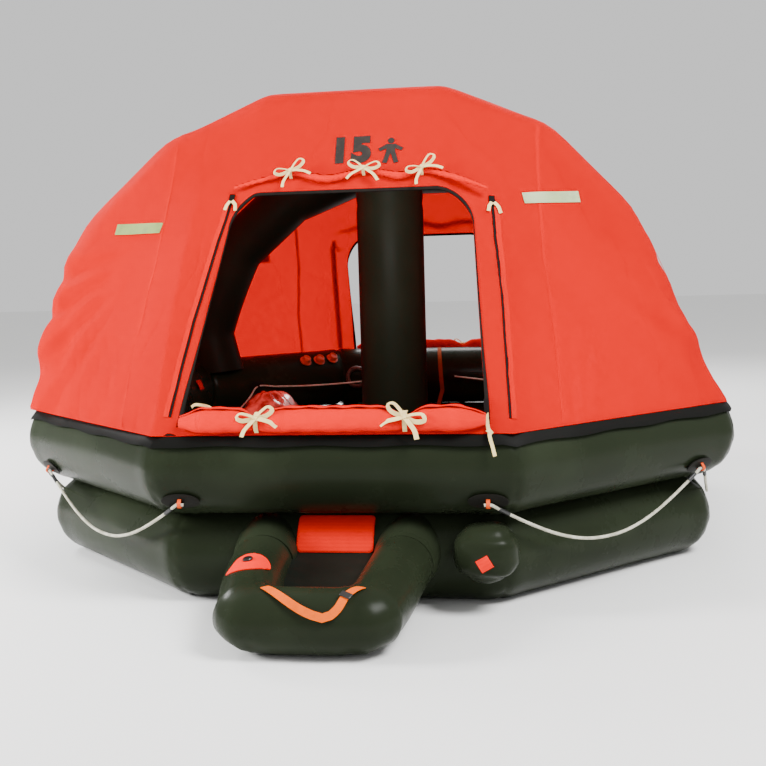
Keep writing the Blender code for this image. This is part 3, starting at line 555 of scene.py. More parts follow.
def crown_line():
    """Centre and mitre of the arch under each corner of the canopy's crown, right to left."""
    outer = [Vector((x, 0, z)) for x, z in [ARCH_FOOT] + CROWN]
    outer += [flip(p, -1, 1) for p in reversed(outer)]
    pairs = []
    for i, p in enumerate(outer):
        a = (p - outer[i - 1]).normalized() if i else None
        b = (outer[i + 1] - p).normalized() if i < len(outer) - 1 else a
        a = a or b
        way = (a + b).normalized()
        mitre = Vector((way.z, 0.0, -way.x)) / way.dot(a)
        pairs.append((p - mitre * WRAP_R, mitre))
    return pairs


CROWN_PAIRS = crown_line()
RIDGE_Z = CROWN[3][1] - WRAP_R


LEAN_LEFT, LEAN_RIGHT = 0.058, 0.018


def slump(p):
    """The tent stands a little to the left on its ring, most of all at the height of the elbows."""
    height = sin(pi * clamp((p.z - 0.50) / 1.15))
    reach = clamp((abs(p.x) - 0.3) / 0.7)
    reach = reach * reach * (3 - 2 * reach)
    return Vector((-(LEAN_LEFT if p.x < 0 else LEAN_RIGHT) * height * reach, 0, 0))


def lean_with_tent(piece):
    for vertex in piece.data.vertices:
        vertex.co += slump(vertex.co)


arch_black = rubber_finish("arch_rubber_black", (0.0110, 0.0140, 0.0080), 0.46, 0.35)
for name, y in (("front_arch", -ARCH_Y), ("rear_arch", ARCH_Y)):
    path = [centre + Vector((0, y, 0)) for centre, _ in CROWN_PAIRS]
    arch = bridged_tube(name + "_tube", path, (0, 1, 0), ARCH_R, ARCH_SIDES, 0.035)
    lean_with_tent(arch)
    settle(arch, arch_black, "tube_black", name)

ridge = bridged_tube("ridge", [(0, -ARCH_Y, RIDGE_Z), (0, ARCH_Y, RIDGE_Z)], UP, RIDGE_R, ARCH_SIDES, 0.05)
settle(ridge, arch_black, "tube_black", "ridge_tube")
column = bridged_tube("centre_column", [(0, 0, FLOOR_TOP), (0, 0, RIDGE_Z - 0.05)], (0, 1, 0), COLUMN_R,
                      56, 0.03)
COLUMN_SEAMS, SEAM_DEPTH, SEAM_WIDTH = (0.115, 1.36), 0.004, 0.010
for vertex in column.data.vertices:
    for seam_z in COLUMN_SEAMS:
        gap = vertex.co.z - seam_z
        if abs(gap) < 3 * SEAM_WIDTH:
            spoke = Vector((vertex.co.x, vertex.co.y, 0.0))
            vertex.co -= spoke.normalized() * (SEAM_DEPTH * bell(gap, SEAM_WIDTH))
settle(column, arch_black, "column_black", "column")

# Canopy: one tent of orange coated cloth, glued to the upper ring all round and carried by the
# arches. It falls straight to the ring at the doors and corners, and its door holes are bound.
WRAP = radians(60.0)
HEM_ANGLE, HEM_R = radians(48.0), 0.168
SEAM_X = 0.550
HEM_OUT = HEM_R * sin(HEM_ANGLE)
HEM_Z = UPPER_Z + HEM_R * cos(HEM_ANGLE)
HEM = octagon(HEM_OUT)
HEM_HALF = HEM[1][0]
FRONT_DOOR = {"sill": 0.490, "head_left": 0.400, "head_right": 0.447, "bottom": 0.600, "top": 1.343,
              "corner": 0.110}
REAR_DOOR = {"sill": 0.430, "head_left": 0.420, "head_right": 0.420, "bottom": 0.600, "top": 1.250,
             "corner": 0.140}
FALL, OVER, SILL, ROUND, HEAD = 32, 12, 60, 12, 34
DOOR_STEPS, ROOF_STEPS = 24, 54
CLOTH = 0.0012
SIDE_V = [k / FALL for k in range(FALL + 1)] + [1 + k / OVER for k in range(1, OVER + 1)]
LOW_SIDE = [(SEAM_X, 0.0), (0.6275, 0.12), (0.705, 0.25), (0.86, 0.42), (1.010, 0.60),
            (1.06, 0.70), (1.115, 0.80), (1.165, 0.90), (1.195, 0.96), (1.2149, 1.0)]


def crown_at(x):
    for (c0, w0), (c1, w1) in zip(CROWN_PAIRS[1:], CROWN_PAIRS[2:-1]):
        x0, x1 = (c0 + w0 * WRAP_R).x, (c1 + w1 * WRAP_R).x
        if x1 - 1e-9 <= x <= x0 + 1e-9:
            t = (x0 - x) / (x0 - x1)
            return c0.lerp(c1, t), w0.lerp(w1, t)
    return CROWN_PAIRS[1] if x > 0 else CROWN_PAIRS[-2]


def over_arch(x, angle):
    """A point of the cloth round the front arch; angle 0 is the arch's crown."""
    centre, mitre = crown_at(x)
    return (centre - Vector((0, ARCH_Y, 0))
            + WRAP_R * (cos(angle) * mitre + sin(angle) * Vector((0, -1, 0))))


def clear_of_arch(p):
    """Cloth that would pass through the front arch lies over it, and stands off its lower leg."""
    lift = WRAP_R + 0.0035 + 0.0075 * clamp((1.05 - p.z) / 0.2)
    for (c0, _), (c1, _) in zip(CROWN_PAIRS, CROWN_PAIRS[1:]):
        a, b = c0 - Vector((0, ARCH_Y, 0)), c1 - Vector((0, ARCH_Y, 0))
        along = b - a
        near = a + along * clamp((p - a).dot(along) / along.dot(along))
        if (p - near).length < lift:
            p = near + (p - near).normalized() * lift
    return p


def panel_point(s, v):
    """Door panel: s from -1 to 1 across; v 0 at the hem, 1 where it meets the arch, 2 its crown."""
    if v > 1.0:
        return over_arch(s * SEAM_X, WRAP * (2.0 - v))
    return Vector((s * HEM_HALF, HEM[0][1], HEM_Z)).lerp(over_arch(s * SEAM_X, WRAP), v)


def flipped(rows, x, y):
    return [[flip(p, x, y) for p in row] for row in rows]


def door_rows(door):
    """Loops of points from the door's hole out to the edge of its panel."""
    high = over_arch(0.0, WRAP).z
    r = door["corner"]
    shoulder = door["top"] - r

    def side(head):
        """One jamb and half of its head corner, then the rest of the corner, to the right."""
        def half_at(z):
            k = (z - door["bottom"]) / (door["top"] - door["bottom"])
            return door["sill"] + (head - door["sill"]) * k

        def corner_point(angle):
            return half_at(shoulder) - r + r * cos(angle), shoulder + r * sin(angle)

        jamb = [(half_at(z), z) for z in
                (door["bottom"] + (shoulder - door["bottom"]) * k / FALL for k in range(FALL))]
        jamb += [corner_point(radians(45) * k / OVER) for k in range(OVER)]
        return jamb, [corner_point(radians(45 + 45 * k / ROUND)) for k in range(ROUND + 1)]

    right_jamb, right_arc = side(door["head_right"])
    left_jamb, left_arc = side(door["head_left"])
    wide = right_arc[-1][0] + left_arc[-1][0]
    head = right_arc[:-1] + [(right_arc[-1][0] - wide * k / HEAD, door["top"]) for k in range(HEAD)]
    head += [(-x, z) for x, z in reversed(left_arc[1:])]
    hole = [(-door["sill"] + 2 * door["sill"] * k / SILL, door["bottom"]) for k in range(SILL)]
    hole += right_jamb + head + [(-x, z) for x, z in [left_arc[0]] + left_jamb[:0:-1]]
    span = 2 * ROUND + HEAD
    rim = [(-1 + 2 * k / SILL, 0.0) for k in range(SILL)] + [(1, v) for v in SIDE_V[:-1]]
    rim += [(1 - 2 * k / span, 2.0) for k in range(span)] + [(-1, v) for v in reversed(SIDE_V[1:])]
    rows = []
    for step in range(DOOR_STEPS + 1):
        k = step / DOOR_STEPS
        row = []
        for (x, z), (s1, v1) in zip(hole, rim):
            v0 = (z - HEM_Z) / (high - HEM_Z)
            s0 = x / (HEM_HALF + (SEAM_X - HEM_HALF) * v0)
            row.append(panel_point(s0 + (s1 - s0) * k, v0 + (v1 - v0) * k))
        rows.append(row)
    return rows


def corner_columns():
    """Columns of the front right corner panel, from its seam beside the door to the arch's foot."""
    start, end = Vector((*HEM[1], HEM_Z)), Vector((*HEM[2], HEM_Z))
    columns = []
    for (x0, u0), (x1, u1) in zip(LOW_SIDE, LOW_SIDE[1:]):
        cuts = 4 if x1 - x0 > 0.1 else 3
        for k in range(cuts):
            columns.append((x0 + (x1 - x0) * k / cuts, u0 + (u1 - u0) * k / cuts))
    columns.append(LOW_SIDE[-1])
    grid = []
    for x, u in columns:
        wrap = WRAP * (1 - u ** 8)
        foot, leave = start.lerp(end, u), over_arch(x, wrap)
        column = []
        for v in SIDE_V:
            if v > 1.0:
                column.append(over_arch(x, wrap * (2.0 - v)))
            elif 0.0 < v < 1.0 and u > 0.0:
                column.append(clear_of_arch(foot.lerp(leave, v)))
            else:
                column.append(foot.lerp(leave, v))
        grid.append(column)
    return grid


CORNER = corner_columns()
FRONT_ROWS, REAR_ROWS = door_rows(FRONT_DOOR), door_rows(REAR_DOOR)
edge = CORNER[-1][:FALL + 1] + [column[-1] for column in CORNER[-2::-1]]
top_span = 2 * ROUND + HEAD
edge += [over_arch(SEAM_X * (1 - 2 * k / top_span), 0.0) for k in range(1, top_span // 2)]
edge = edge + [over_arch(0.0, 0.0)] + [flip(p, -1, 1) for p in reversed(edge)]
roof_rows = [[flip(p, 1, 1 - 2 * k / ROOF_STEPS) for p in edge] for k in range(ROOF_STEPS + 1)]
panels = [(FRONT_ROWS, True), (flipped(REAR_ROWS, 1, -1), True)]
panels += [(flipped(CORNER, x, y), False) for x, y in ((1, 1), (-1, 1), (1, -1), (-1, -1))]
points, faces = [], []
for rows, closed in panels + [(roof_rows, False)]:
    faces += grid_faces(len(rows), len(rows[0]), closed, len(points))
    points += [p for row in rows for p in row]
canopy = place_piece("canopy", clean_mesh("canopy", points, faces))


edit_all(canopy)
bpy.ops.mesh.remove_doubles(threshold=0.0022)
bpy.ops.mesh.dissolve_degenerate(threshold=0.0008)
close_edit()


# Cloth can't hold a sharp bend: every inner point moves towards its neighbours' middle.
SOFTENING_ROUNDS = 6
shape = bmesh.new()
shape.from_mesh(canopy.data)
inner = [v for v in shape.verts if not v.is_boundary]
free_points = [v.index for v in inner]
for _ in range(SOFTENING_ROUNDS):
    bmesh.ops.smooth_vert(shape, verts=inner, factor=0.5, use_axis_x=True, use_axis_y=True, use_axis_z=True)
shape.to_mesh(canopy.data)
shape.free()
lean_with_tent(canopy)


FAN_X, FAN_Y, FAN_Z = 0.50, 1.06, 1.22


def fan(p):
    """Pulled folds that spread from a doorway's upper corner down to the hem of the corner panel."""
    across = 0.7 * ((abs(p.x) - FAN_X) - (abs(p.y) - FAN_Y))
    drop = FAN_Z - p.z
    reach = hypot(across, drop)
    turn = 27 * atan2(across, max(drop, 0.02)) + 1.3 * sin(4.1 * across + 2.3 * drop)
    pulled = clamp((reach - 0.18) / 0.30) * clamp((abs(p.x) - 0.60) / 0.12)
    along_side = 1.0 / (1.0 + exp((0.66 - abs(p.y)) / 0.07))
    wave = sin(turn) + 0.36 * sin(2 * turn + 0.7)
    return (wave + 0.9) * pulled * along_side


def fold_depth(p):
    """Soft waves of the cloth: folds from the hem, drags at the corners, slack between the arches."""
    height = max(p.z - HEM_Z, 0.0)
    q = 0.85 * (abs(p.x) - abs(p.y)) + (1.7 if p.x > 0 else 0.0)
    near_hem = exp(-height / 0.16)
    at_corner = bell(abs(p.x) - 1.08, 0.28) * bell(abs(p.y) - 0.98, 0.30)
    at_door = bell(abs(p.x) - 0.60, 0.09) * (1 if abs(p.y) > 0.9 else 0)
    folds = sin(q * 48 + 1.7 * sin(q * 9.0) + height * 5)
    drag = sin(q * 31 + height * 9 + 1.4 * sin(height * 8))
    slack = sin(p.x * 5.3 + 1.0) * sin(p.y * 4.1 + p.z * 3.7)
    between = max(0.0, cos(min(abs(p.y) / ARCH_Y, 1.0) * pi / 2)) * min(abs(p.x) / 0.35, 1.0)
    left_front = 1.0 if p.x < -0.5 and p.y < 0.2 else 0.45
    return (0.0032 * (folds + 0.9) * near_hem + 0.0040 * drag * at_corner * exp(-height / 0.5) * left_front
            + 0.0080 * fan(p) * left_front + 0.0024 * sin(p.z * 41 + p.x * 23) * at_door
            + 0.0040 * slack - 0.010 * between)


canopy.data.update()
normals = [v.normal.copy() for v in canopy.data.vertices]
for k in free_points:
    vertex = canopy.data.vertices[k]
    vertex.co += normals[k] * fold_depth(vertex.co)
canopy.data.update()
CANOPY_SKIN = surface_tree(canopy)


def cloth_finish(name, colour, deep, roughness=0.62, glow=0.0, thread=0.0016):
    """Coated cloth: the weave's threads, a chalky bloom and faint handling marks."""
    material, start, sockets = finish(name, colour, roughness, Specular_IOR_Level=0.04)
    bloom = start.noise(1.7, 4.0).within(0.35, 0.70)
    marks = start.noise(23.0, 5.0).within(0.55, 0.80)
    upright = start.add("ShaderNodeVectorMath", {"operation": "MULTIPLY"}, {
        0: start.add("ShaderNodeTexCoord", output="Object"), 1: (3.4, 3.4, 0.55)})
    drape = start.noise(1.0, 2.0, upright)
    crease = start.maths("ABSOLUTE", drape - 0.5).within(0.0, 0.030)
    (bloom * 0.45 + marks * 0.25 + (1.0 - crease) * 0.20).blend(colour, deep).into(sockets["Base Color"])
    (roughness + marks * 0.08 - bloom * 0.05).into(sockets["Roughness"])
    height = start.weave(thread) * 0.03 + marks * 0.05 + drape * 2.4 + crease * 0.25
    relief(start, sockets, height, 14.0, 0.9)
    if glow:
        tree = material.node_tree
        through = tree.nodes.new("ShaderNodeBsdfTranslucent")
        through.inputs["Color"].default_value = (0.95, 0.055, 0.050, 1.0)
        mixer = tree.nodes.new("ShaderNodeMixShader")
        mixer.inputs[0].default_value = glow
        tree.links.new(tree.nodes["Principled BSDF"].outputs[0], mixer.inputs[1])
        tree.links.new(through.outputs[0], mixer.inputs[2])
        tree.links.new(mixer.outputs[0], tree.nodes["Material Output"].inputs["Surface"])
    return material


def thicken(piece, thickness, offset=-1.0):
    work_on(piece)
    skin = piece.modifiers.new("cloth thickness", "SOLIDIFY")
    skin.thickness = thickness
    skin.offset = offset
    bpy.ops.object.modifier_apply(modifier=skin.name)
    bpy.ops.object.shade_smooth_by_angle(angle=radians(40))


thicken(canopy, CLOTH)
canopy_orange = cloth_finish("canopy_cloth_orange", (0.98, 0.0025, 0.0004), (0.88, 0.0045, 0.0010),
                             glow=0.55)
settle(canopy, canopy_orange, "canopy_orange", "canopy_front_panel", "canopy_rear_panel", "canopy_roof",
       "canopy_corner_front_left", "canopy_corner_front_right", "canopy_corner_rear_left",
       "canopy_corner_rear_right")

# Seams: the tent's panels are joined with felled seams, a narrow double thickness with two rows
# of stitches. They run up from the hem beside the doors and along the crown of each arch.
TENT_MIDDLE = Vector((0, 0, 0.9))
FACE_RISE = (over_arch(0, WRAP) - Vector((0, HEM[0][1], HEM_Z))).normalized()
FACE_OUT = Vector((0, -FACE_RISE.z, FACE_RISE.y))


def on_face(x, z, end=1):
    """A point of a door panel's slope by its X and height; end is 1 at the front, -1 at the rear."""
    return flip(Vector((x, HEM[0][1], HEM_Z)) + FACE_RISE * ((z - HEM_Z) / FACE_RISE.z), 1, end)


def off_face(places):
    """Points given by X, height and distance off the front panel."""
    return [on_face(x, z) + FACE_OUT * out for x, z, out in places]


def on_canopy(p, lift):
    """The nearest point of the canopy's outer face, lifted off it, and the way out there."""
    spot, normal, _, _ = CANOPY_SKIN.find_nearest(p)
    if normal.dot(spot - TENT_MIDDLE) < 0:
        normal = -normal
    return spot + normal * lift, normal


def even_points(points, spacing):
    """Points at an even spacing along straight lines between the given ones."""
    points = [Vector(p) for p in points]
    even = []
    for a, b in zip(points, points[1:]):
        count = max(1, round((b - a).length / spacing))
        even += [a.lerp(b, k / count) for k in range(count)]
    return even + [points[-1]]


def cloth(name, rows, thickness, middle, offset=-1.0):
    """A sheet through rows of points, its outer face the one away from middle, with a UV in metres."""
    wide = len(rows[0])
    points, uvs = [], []
    v = 0.0
    for i, row in enumerate(rows):
        v += (row[wide // 2] - rows[i - 1][wide // 2]).length if i else 0.0
        u = 0.0
        for j, p in enumerate(row):
            u += (p - row[j - 1]).length if j else 0.0
            points.append(p)
            uvs.append((u, v))
    mesh = clean_mesh(name, points, grid_faces(len(rows), wide), uvs)
    if sum(p.normal.dot(p.center - Vector(middle)) * p.area for p in mesh.polygons) < 0:
        mesh.flip_normals()
    piece = place_piece(name, mesh)
    thicken(piece, thickness, offset)
    return piece


def strip(name, line, width, lift, thickness, across=2):
    """A strip of cloth laid along a line on the canopy, its outer face lifted off it."""
    laid = [on_canopy(p, lift) for p in line]
    spots = [p for p, _ in laid]
    rows = []
    for i, (p, normal) in enumerate(laid):
        side = normal.cross(heading(spots, i)).normalized()
        rows.append([on_canopy(p + side * (width * (k / across - 0.5)), lift)[0]
                     for k in range(across + 1)])
    return cloth(name, rows, thickness, TENT_MIDDLE)


def join(name, parts):
    work_on(parts[0])
    for part in parts[1:]:
        part.select_set(True)
    bpy.ops.object.join()
    parts[0].name = parts[0].data.name = name
    return parts[0]


def webbing_finish(name, colour, dark, rib=0.0022, roughness=0.8, shade=0.35):
    """Woven tape: ribs across its length, in the strip's own UV, and soiled edges."""
    material, start, sockets = finish(name, colour, roughness, Specular_IOR_Level=0.05)
    ribs = start.waves(1, rib, "UV") * 0.5 + 0.5
    soil = start.noise(31.0, 4.0).within(0.40, 0.75)
    (ribs * 0.25 + soil * shade).blend(colour, dark).into(sockets["Base Color"])
    relief(start, sockets, ribs * 0.6 + soil * 0.4, 0.4)
    return material


seam_orange = cloth_finish("seam_orange", (0.96, 0.0035, 0.0007), (0.82, 0.0045, 0.0010), glow=0.40)
SEAM_ROUTE = [(0.724, -1.452, HEM_Z + 0.012), (0.705, -1.31, 0.83), (0.672, -1.19, 1.09),
              (0.662, -1.07, 1.34), (0.655, -0.98, 1.52), (0.650, -0.86, 1.60)]
SEAM_LIFT, SEAM_CLOTH = 0.0009, 0.0010
seam_parts = []
for y_sign in (1, -1):
    for x_sign in (1, -1):
        line = even_points([flip(Vector(p), x_sign, y_sign) for p in SEAM_ROUTE], 0.02)
        seam_parts.append(strip("seam", line, 0.013, SEAM_LIFT, SEAM_CLOTH))
    crown = [flip(over_arch(1.2 - 2.4 * k / 60, 0.0), 1, y_sign) for k in range(61)]
    seam_parts.append(strip("seam", crown, 0.016, SEAM_LIFT, SEAM_CLOTH))
settle(join("canopy_seams", seam_parts), seam_orange, "canopy_orange")

# Door bindings: black tape folded over the raw edge of each door hole and sewn through, one layer
# on each face of the cloth.
binding_black = webbing_finish("door_binding_black", (0.010, 0.008, 0.007), (0.020, 0.014, 0.012), 0.003)
for name, rows, y_sign in (("front", FRONT_ROWS, 1), ("rear", REAR_ROWS, -1)):
    loop = []
    for inner, outer in zip(rows[0], rows[-1]):
        way = (outer - inner).normalized()
        loop.append([flip(inner + way * out, 1, y_sign) for out in (-0.0020, 0.0045, 0.0110)])
    strips = []
    for lift in (0.0012, -0.0024):
        laid = []
        for over_edge, middle, on_cloth in loop + loop[:1]:
            fold = on_canopy(middle, lift)[0]
            laid.append([fold + (over_edge - middle), fold, on_canopy(on_cloth, lift)[0]])
        strips.append(cloth("binding", laid, 0.0010, TENT_MIDDLE))
    settle(join(name + "_door_binding", strips), binding_black, "hem_black")

# Zips: a black slide fastener down each side of a door, in a folded placket of the tent's cloth,
# with a black keeper at its top and a cream tie to hold the curtain.
zip_black = webbing_finish("zip_tape_black", (0.008, 0.006, 0.006), (0.016, 0.011, 0.010), 0.0018)
placket_orange = cloth_finish("placket_orange", (0.96, 0.0035, 0.0007), (0.84, 0.0045, 0.0010), glow=0.30)
tie_cream = webbing_finish("tie_tape_cream", (0.90, 0.70, 0.30), (0.66, 0.48, 0.20), 0.0020, 0.85, 0.5)
ZIPS = {
    "front_left": (1, [(-0.405, 1.345), (-0.419, 1.265), (-0.436, 1.190), (-0.461, 1.050), (-0.485, 0.925),
                       (-0.508, 0.770), (-0.525, 0.625)], -1),
    "front_right": (1, [(0.503, 1.315), (0.510, 1.240), (0.517, 1.162), (0.537, 0.998), (0.550, 0.812),
                        (0.563, 0.612)], 1),
    "rear_left": (-1, [(-0.478, 1.235), (-0.490, 1.05), (-0.503, 0.82), (-0.515, 0.615)], -1),
    "rear_right": (-1, [(0.478, 1.235), (0.490, 1.05), (0.503, 0.82), (0.515, 0.615)], 1),
}
for name, (end, places, away) in ZIPS.items():
    line = even_points([on_face(x, z, end) for x, z in places], 0.012)
    settle(strip("zip_" + name, line, 0.0105, 0.0016, 0.0010), zip_black, "hem_black")
    shifted = [p + Vector((away * 0.0125, 0, 0)) for p in line[2:]]
    settle(strip("placket_" + name, shifted, 0.017, 0.0030, 0.0022), placket_orange, "canopy_orange")
    top = on_face(*places[0], end)
    held = even_points([top + UP * 0.014, top - UP * 0.030], 0.008)
    settle(strip("zip_keeper_" + name, held, 0.020, 0.0045, 0.0020), zip_black, "hem_black")
    tie_parts = []
    for spread, drop in ((-0.016, 0.062), (0.024, 0.070)):
        tail = [top + Vector(step) for step in
                ((spread * 0.2, 0, -0.020), (spread * 0.8, 0, -0.040), (spread, 0, -drop))]
        tie_parts.append(strip("tie", even_points(tail, 0.008), 0.012, 0.0075, 0.0016))
    settle(join("zip_tie_" + name, tie_parts), tie_cream, "grab_rope")

# Reflective tapes: strips of grey-green beaded tape glued across the canopy's four corners and
# on its sides, so that a searchlight finds the raft from anywhere.
tape_material, start, sockets = finish("reflective_tape", (0.20, 0.27, 0.070), 0.35, Metallic=0.0)
beads = start.add("ShaderNodeTexVoronoi", None, {
    "Vector": start.add("ShaderNodeTexCoord", output="UV"), "Scale": 420.0})
wear = start.noise(24.0, 4.0).within(0.45, 0.75)
(beads * 0.5 + wear * 0.5).blend((0.25, 0.33, 0.090), (0.15, 0.20, 0.060)).into(sockets["Base Color"])
relief(start, sockets, beads, 0.3)
TAPES = {
    "front_left": ((-0.870, -1.003, 1.239), (-0.668, -1.113, 1.237)),
    "front_right": ((0.604, -1.106, 1.304), (0.797, -1.008, 1.309)),
    "rear_left": ((-0.990, 0.950, 1.130), (-0.800, 1.060, 1.130)),
    "rear_right": ((0.660, 1.113, 1.250), (0.860, 1.003, 1.250)),
    "left_side": ((-1.05, -0.10, 1.21), (-1.05, 0.10, 1.21)),
    "right_side": ((1.05, -0.10, 1.21), (1.05, 0.10, 1.21)),
}
for name, ends in TAPES.items():
    tape = strip("reflective_tape_" + name, even_points(ends, 0.008), 0.042, 0.0030, 0.0009, 6)
    settle(tape, tape_material, "canopy_orange")

# Capacity mark: plain stencilled figures and a simple standing figure above the front door,
# painted in dark brown.


def patchy_finish(name, colour, roughness, noise, between, low, high, depth=0.0, **constants):
    """Two colours in soft patches, and the same patches as relief where a depth in mm is given."""
    material, start, sockets = finish(name, colour, roughness, **constants)
    patches = start.noise(*noise)
    (patches.within(*between) if between else patches).blend(low, high).into(sockets["Base Color"])
    if depth:
        relief(start, sockets, patches, depth)
    return material


mark_brown = patchy_finish("capacity_mark_brown", (0.010, 0.006, 0.003), 0.6, (60.0, 4.0), (0.4, 0.8),
                           (0.009, 0.005, 0.003), (0.026, 0.014, 0.008))


def painted(name, piece, across, up):
    """Turns a flat mesh drawn in XY into paint on the front panel, centred at the given X and Z."""
    edit_all(piece)
    bpy.ops.mesh.quads_convert_to_tris()
    bpy.ops.mesh.subdivide(number_cuts=3)
    bpy.ops.object.mode_set(mode="OBJECT")
    xs, ys = zip(*((v.co.x, v.co.y) for v in piece.data.vertices))
    middle = Vector(((min(xs) + max(xs)) / 2, (min(ys) + max(ys)) / 2, 0))
    base = on_face(across, up)
    for vertex in piece.data.vertices:
        flat = vertex.co - middle
        vertex.co = on_canopy(base + Vector((flat.x, 0, 0)) + FACE_RISE * flat.y, 0.0012)[0]
    piece.data.update()
    if sum(p.normal.dot(FACE_OUT) for p in piece.data.polygons) < 0:
        piece.data.flip_normals()
    thicken(piece, 0.0006)
    piece.name = name
    settle(piece, mark_brown, "hem_black")


figures = drawn("capacity_figures", bpy.ops.object.text_add, location=(0, 0, 0))
figures.data.body = "15"
figures.data.size = 0.136
figures.data.offset = 0.0088
figures.data.space_character = 1.12
work_on(figures)
bpy.ops.object.convert(target="MESH")
painted("capacity_figures", bpy.context.object, 0.018, 1.491)


STANDING_FIGURE = [
    [(0.012 * cos(k * pi / 9), 0.043 + 0.012 * sin(k * pi / 9)) for k in range(18)],
    [(-0.015, 0.029), (0.015, 0.029), (0.016, -0.002), (-0.016, -0.002)],
    [(-0.015, 0.029), (-0.016, 0.010), (-0.037, -0.001), (-0.044, 0.011)],
    [(0.016, 0.010), (0.015, 0.029), (0.044, 0.011), (0.037, -0.001)],
    [(-0.016, -0.002), (0.002, -0.002), (-0.012, -0.051), (-0.029, -0.047)],
    [(-0.002, -0.002), (0.016, -0.002), (0.029, -0.047), (0.012, -0.051)],
]
points, faces = [], []
for outline in STANDING_FIGURE:
    faces.append(tuple(range(len(points), len(points) + len(outline))))
    points += [(x, y, 0.0) for x, y in outline]
figure = place_piece("capacity_figure_standing", clean_mesh("capacity_figure_standing", points, faces))
painted("capacity_figure_standing", figure, 0.150, 1.483)

# Hem band: a black rubber strip that seals the canopy's lower edge to the upper ring all round,
# pulled in at the ring's mitred corners.
band_rows = []
BAND_LOW, BAND_HIGH = radians(40), radians(61)
for corner in range(8):
    length = facet(corner)[3]
    steps = round(length / 0.04)
    for k in range(steps):
        row = []
        for m in range(7):
            wave = 0.02 * sin(corner * 2.1 + k * 0.9) * (m / 6)
            a = BAND_LOW + (BAND_HIGH - BAND_LOW) * m / 6 + wave
            gap = min(k, steps - k) * length / steps
            r = (UPPER_R + 0.0030 + (0.0012 if 0 < m < 6 else 0.0) - 0.0095 * bell(gap, 0.02)
                 + 0.0020 * bell(gap - 0.05, 0.03))
            corners = octagon(r * sin(a))
            p = Vector((*corners[corner], 0)).lerp(Vector((*corners[(corner + 1) % 8], 0)), k / steps)
            row.append(p + UP * (UPPER_Z + r * cos(a)))
        band_rows.append(row)
band_rows.append(band_rows[0])
hem_band = cloth("canopy_hem_strip", band_rows, 0.0024, (0, 0, 0.3))
hem_black = rubber_finish("hem_rubber_black", (0.0045, 0.0045, 0.0040), 0.55, 0.4)
settle(hem_band, hem_black, "hem_black", "canopy_hem_band")

# Rolled curtains: each door has a lower and an upper curtain of the tent's cloth, rolled up
# and held with cream ties, so that the roll bulges between them.
CURTAIN_CLOTH, PER_TURN = 0.0007, 22


def rolled_curtain(name, end, stations, half_high, half_deep, stand, turns, node, seed):
    """A sheet rolled up round itself; stations give X, height and size along the roll."""
    rows = []
    count = round(turns * PER_TURN)
    for i, (x, z, size) in enumerate(stations):
        base = on_face(x, z) + FACE_OUT * (half_deep + stand)
        row = []
        for m in range(count + 1):
            a = 2 * pi * m / PER_TURN - pi * 0.75
            f = 0.30 + 0.70 * m / count
            crease = 1 + 0.035 * sin(i * 0.8 + a * 2 + seed) * sin(a * 3 + i * 0.31 + seed)
            shift = 0.0015 * sin(i * 1.3 + m * 0.2 + seed)
            p = (base + FACE_RISE * (half_high * size * f * crease * cos(a) + shift)
                 + FACE_OUT * (half_deep * size * f * crease * sin(a) - half_deep * (1 - size)))
            row.append(flip(p, 1, end))
        rows.append(row)
    area = sum((rows[i + 1][j] - rows[i][j]).cross(rows[i][j + 1] - rows[i][j]).length
               for i in range(len(rows) - 1) for j in range(count))
    curtain = cloth(name, rows, CURTAIN_CLOTH, on_face(0, stations[0][1], end) + Vector((0, 0.5 * end, 0)))
    settle(curtain, curtain_orange, "curtain_orange", node)
    width = stations[-1][0] - stations[0][0]
    round(area / width, 3)


def tied_stations(half, z, ties):
    """The lower roll: full between its ties, pinched at them, closed in at its ends."""
    stations = []
    count = 64
    for k in range(count + 1):
        x = -half + 2 * half * k / count
        near = min(abs(x - tie) for tie in ties)
        size = 1.0 - 0.42 * bell(near, 0.030) - 0.10 * bell(near, 0.075)
        size *= min(1.0, 0.45 + 7.0 * min(k, count - k) / count)
        stations.append((x, z - 0.006 * bell(near, 0.05), size))
    return stations


curtain_orange = cloth_finish("curtain_cloth_orange", (0.97, 0.0035, 0.0006), (0.80, 0.0060, 0.0015), 0.55,
                              thread=0.0013)
FRONT_TIES, REAR_TIES = (-0.232, 0.238), (-0.200, 0.200)
ROLL_Z = 0.604
FRONT_HEAD = [(-0.395, 1.370, 0.45), (-0.300, 1.392, 0.70), (-0.196, 1.413, 0.80), (-0.120, 1.396, 1.10),
              (-0.050, 1.386, 1.15), (0.067, 1.411, 0.80), (0.186, 1.388, 1.15), (0.265, 1.404, 0.80),
              (0.380, 1.374, 1.00), (0.487, 1.336, 0.45)]
REAR_HEAD = [(-0.440, 1.290, 0.6), (-0.25, 1.320, 0.85), (-0.12, 1.302, 1.15), (0.0, 1.322, 0.85),
             (0.12, 1.300, 1.15), (0.25, 1.320, 0.85), (0.440, 1.290, 0.6)]
rolled_curtain("front_lower_curtain", 1, tied_stations(0.487, ROLL_Z, FRONT_TIES), 0.047, 0.024, 0.0005, 3.5,
               "front_door_lower_roll", 0.0)
rolled_curtain("rear_lower_curtain", -1, tied_stations(0.425, ROLL_Z, REAR_TIES), 0.045, 0.024, 0.0005, 3.5,
               "rear_door_lower_roll", 2.0)
rolled_curtain("front_upper_curtain", 1, smooth_route(FRONT_HEAD, 0.013), 0.014, 0.010, 0.0008, 2.5,
               "front_door_upper_roll", 1.0)
rolled_curtain("rear_upper_curtain", -1, smooth_route(REAR_HEAD, 0.013), 0.018, 0.012, 0.0008, 3.0,
               "rear_door_upper_roll", 3.0)

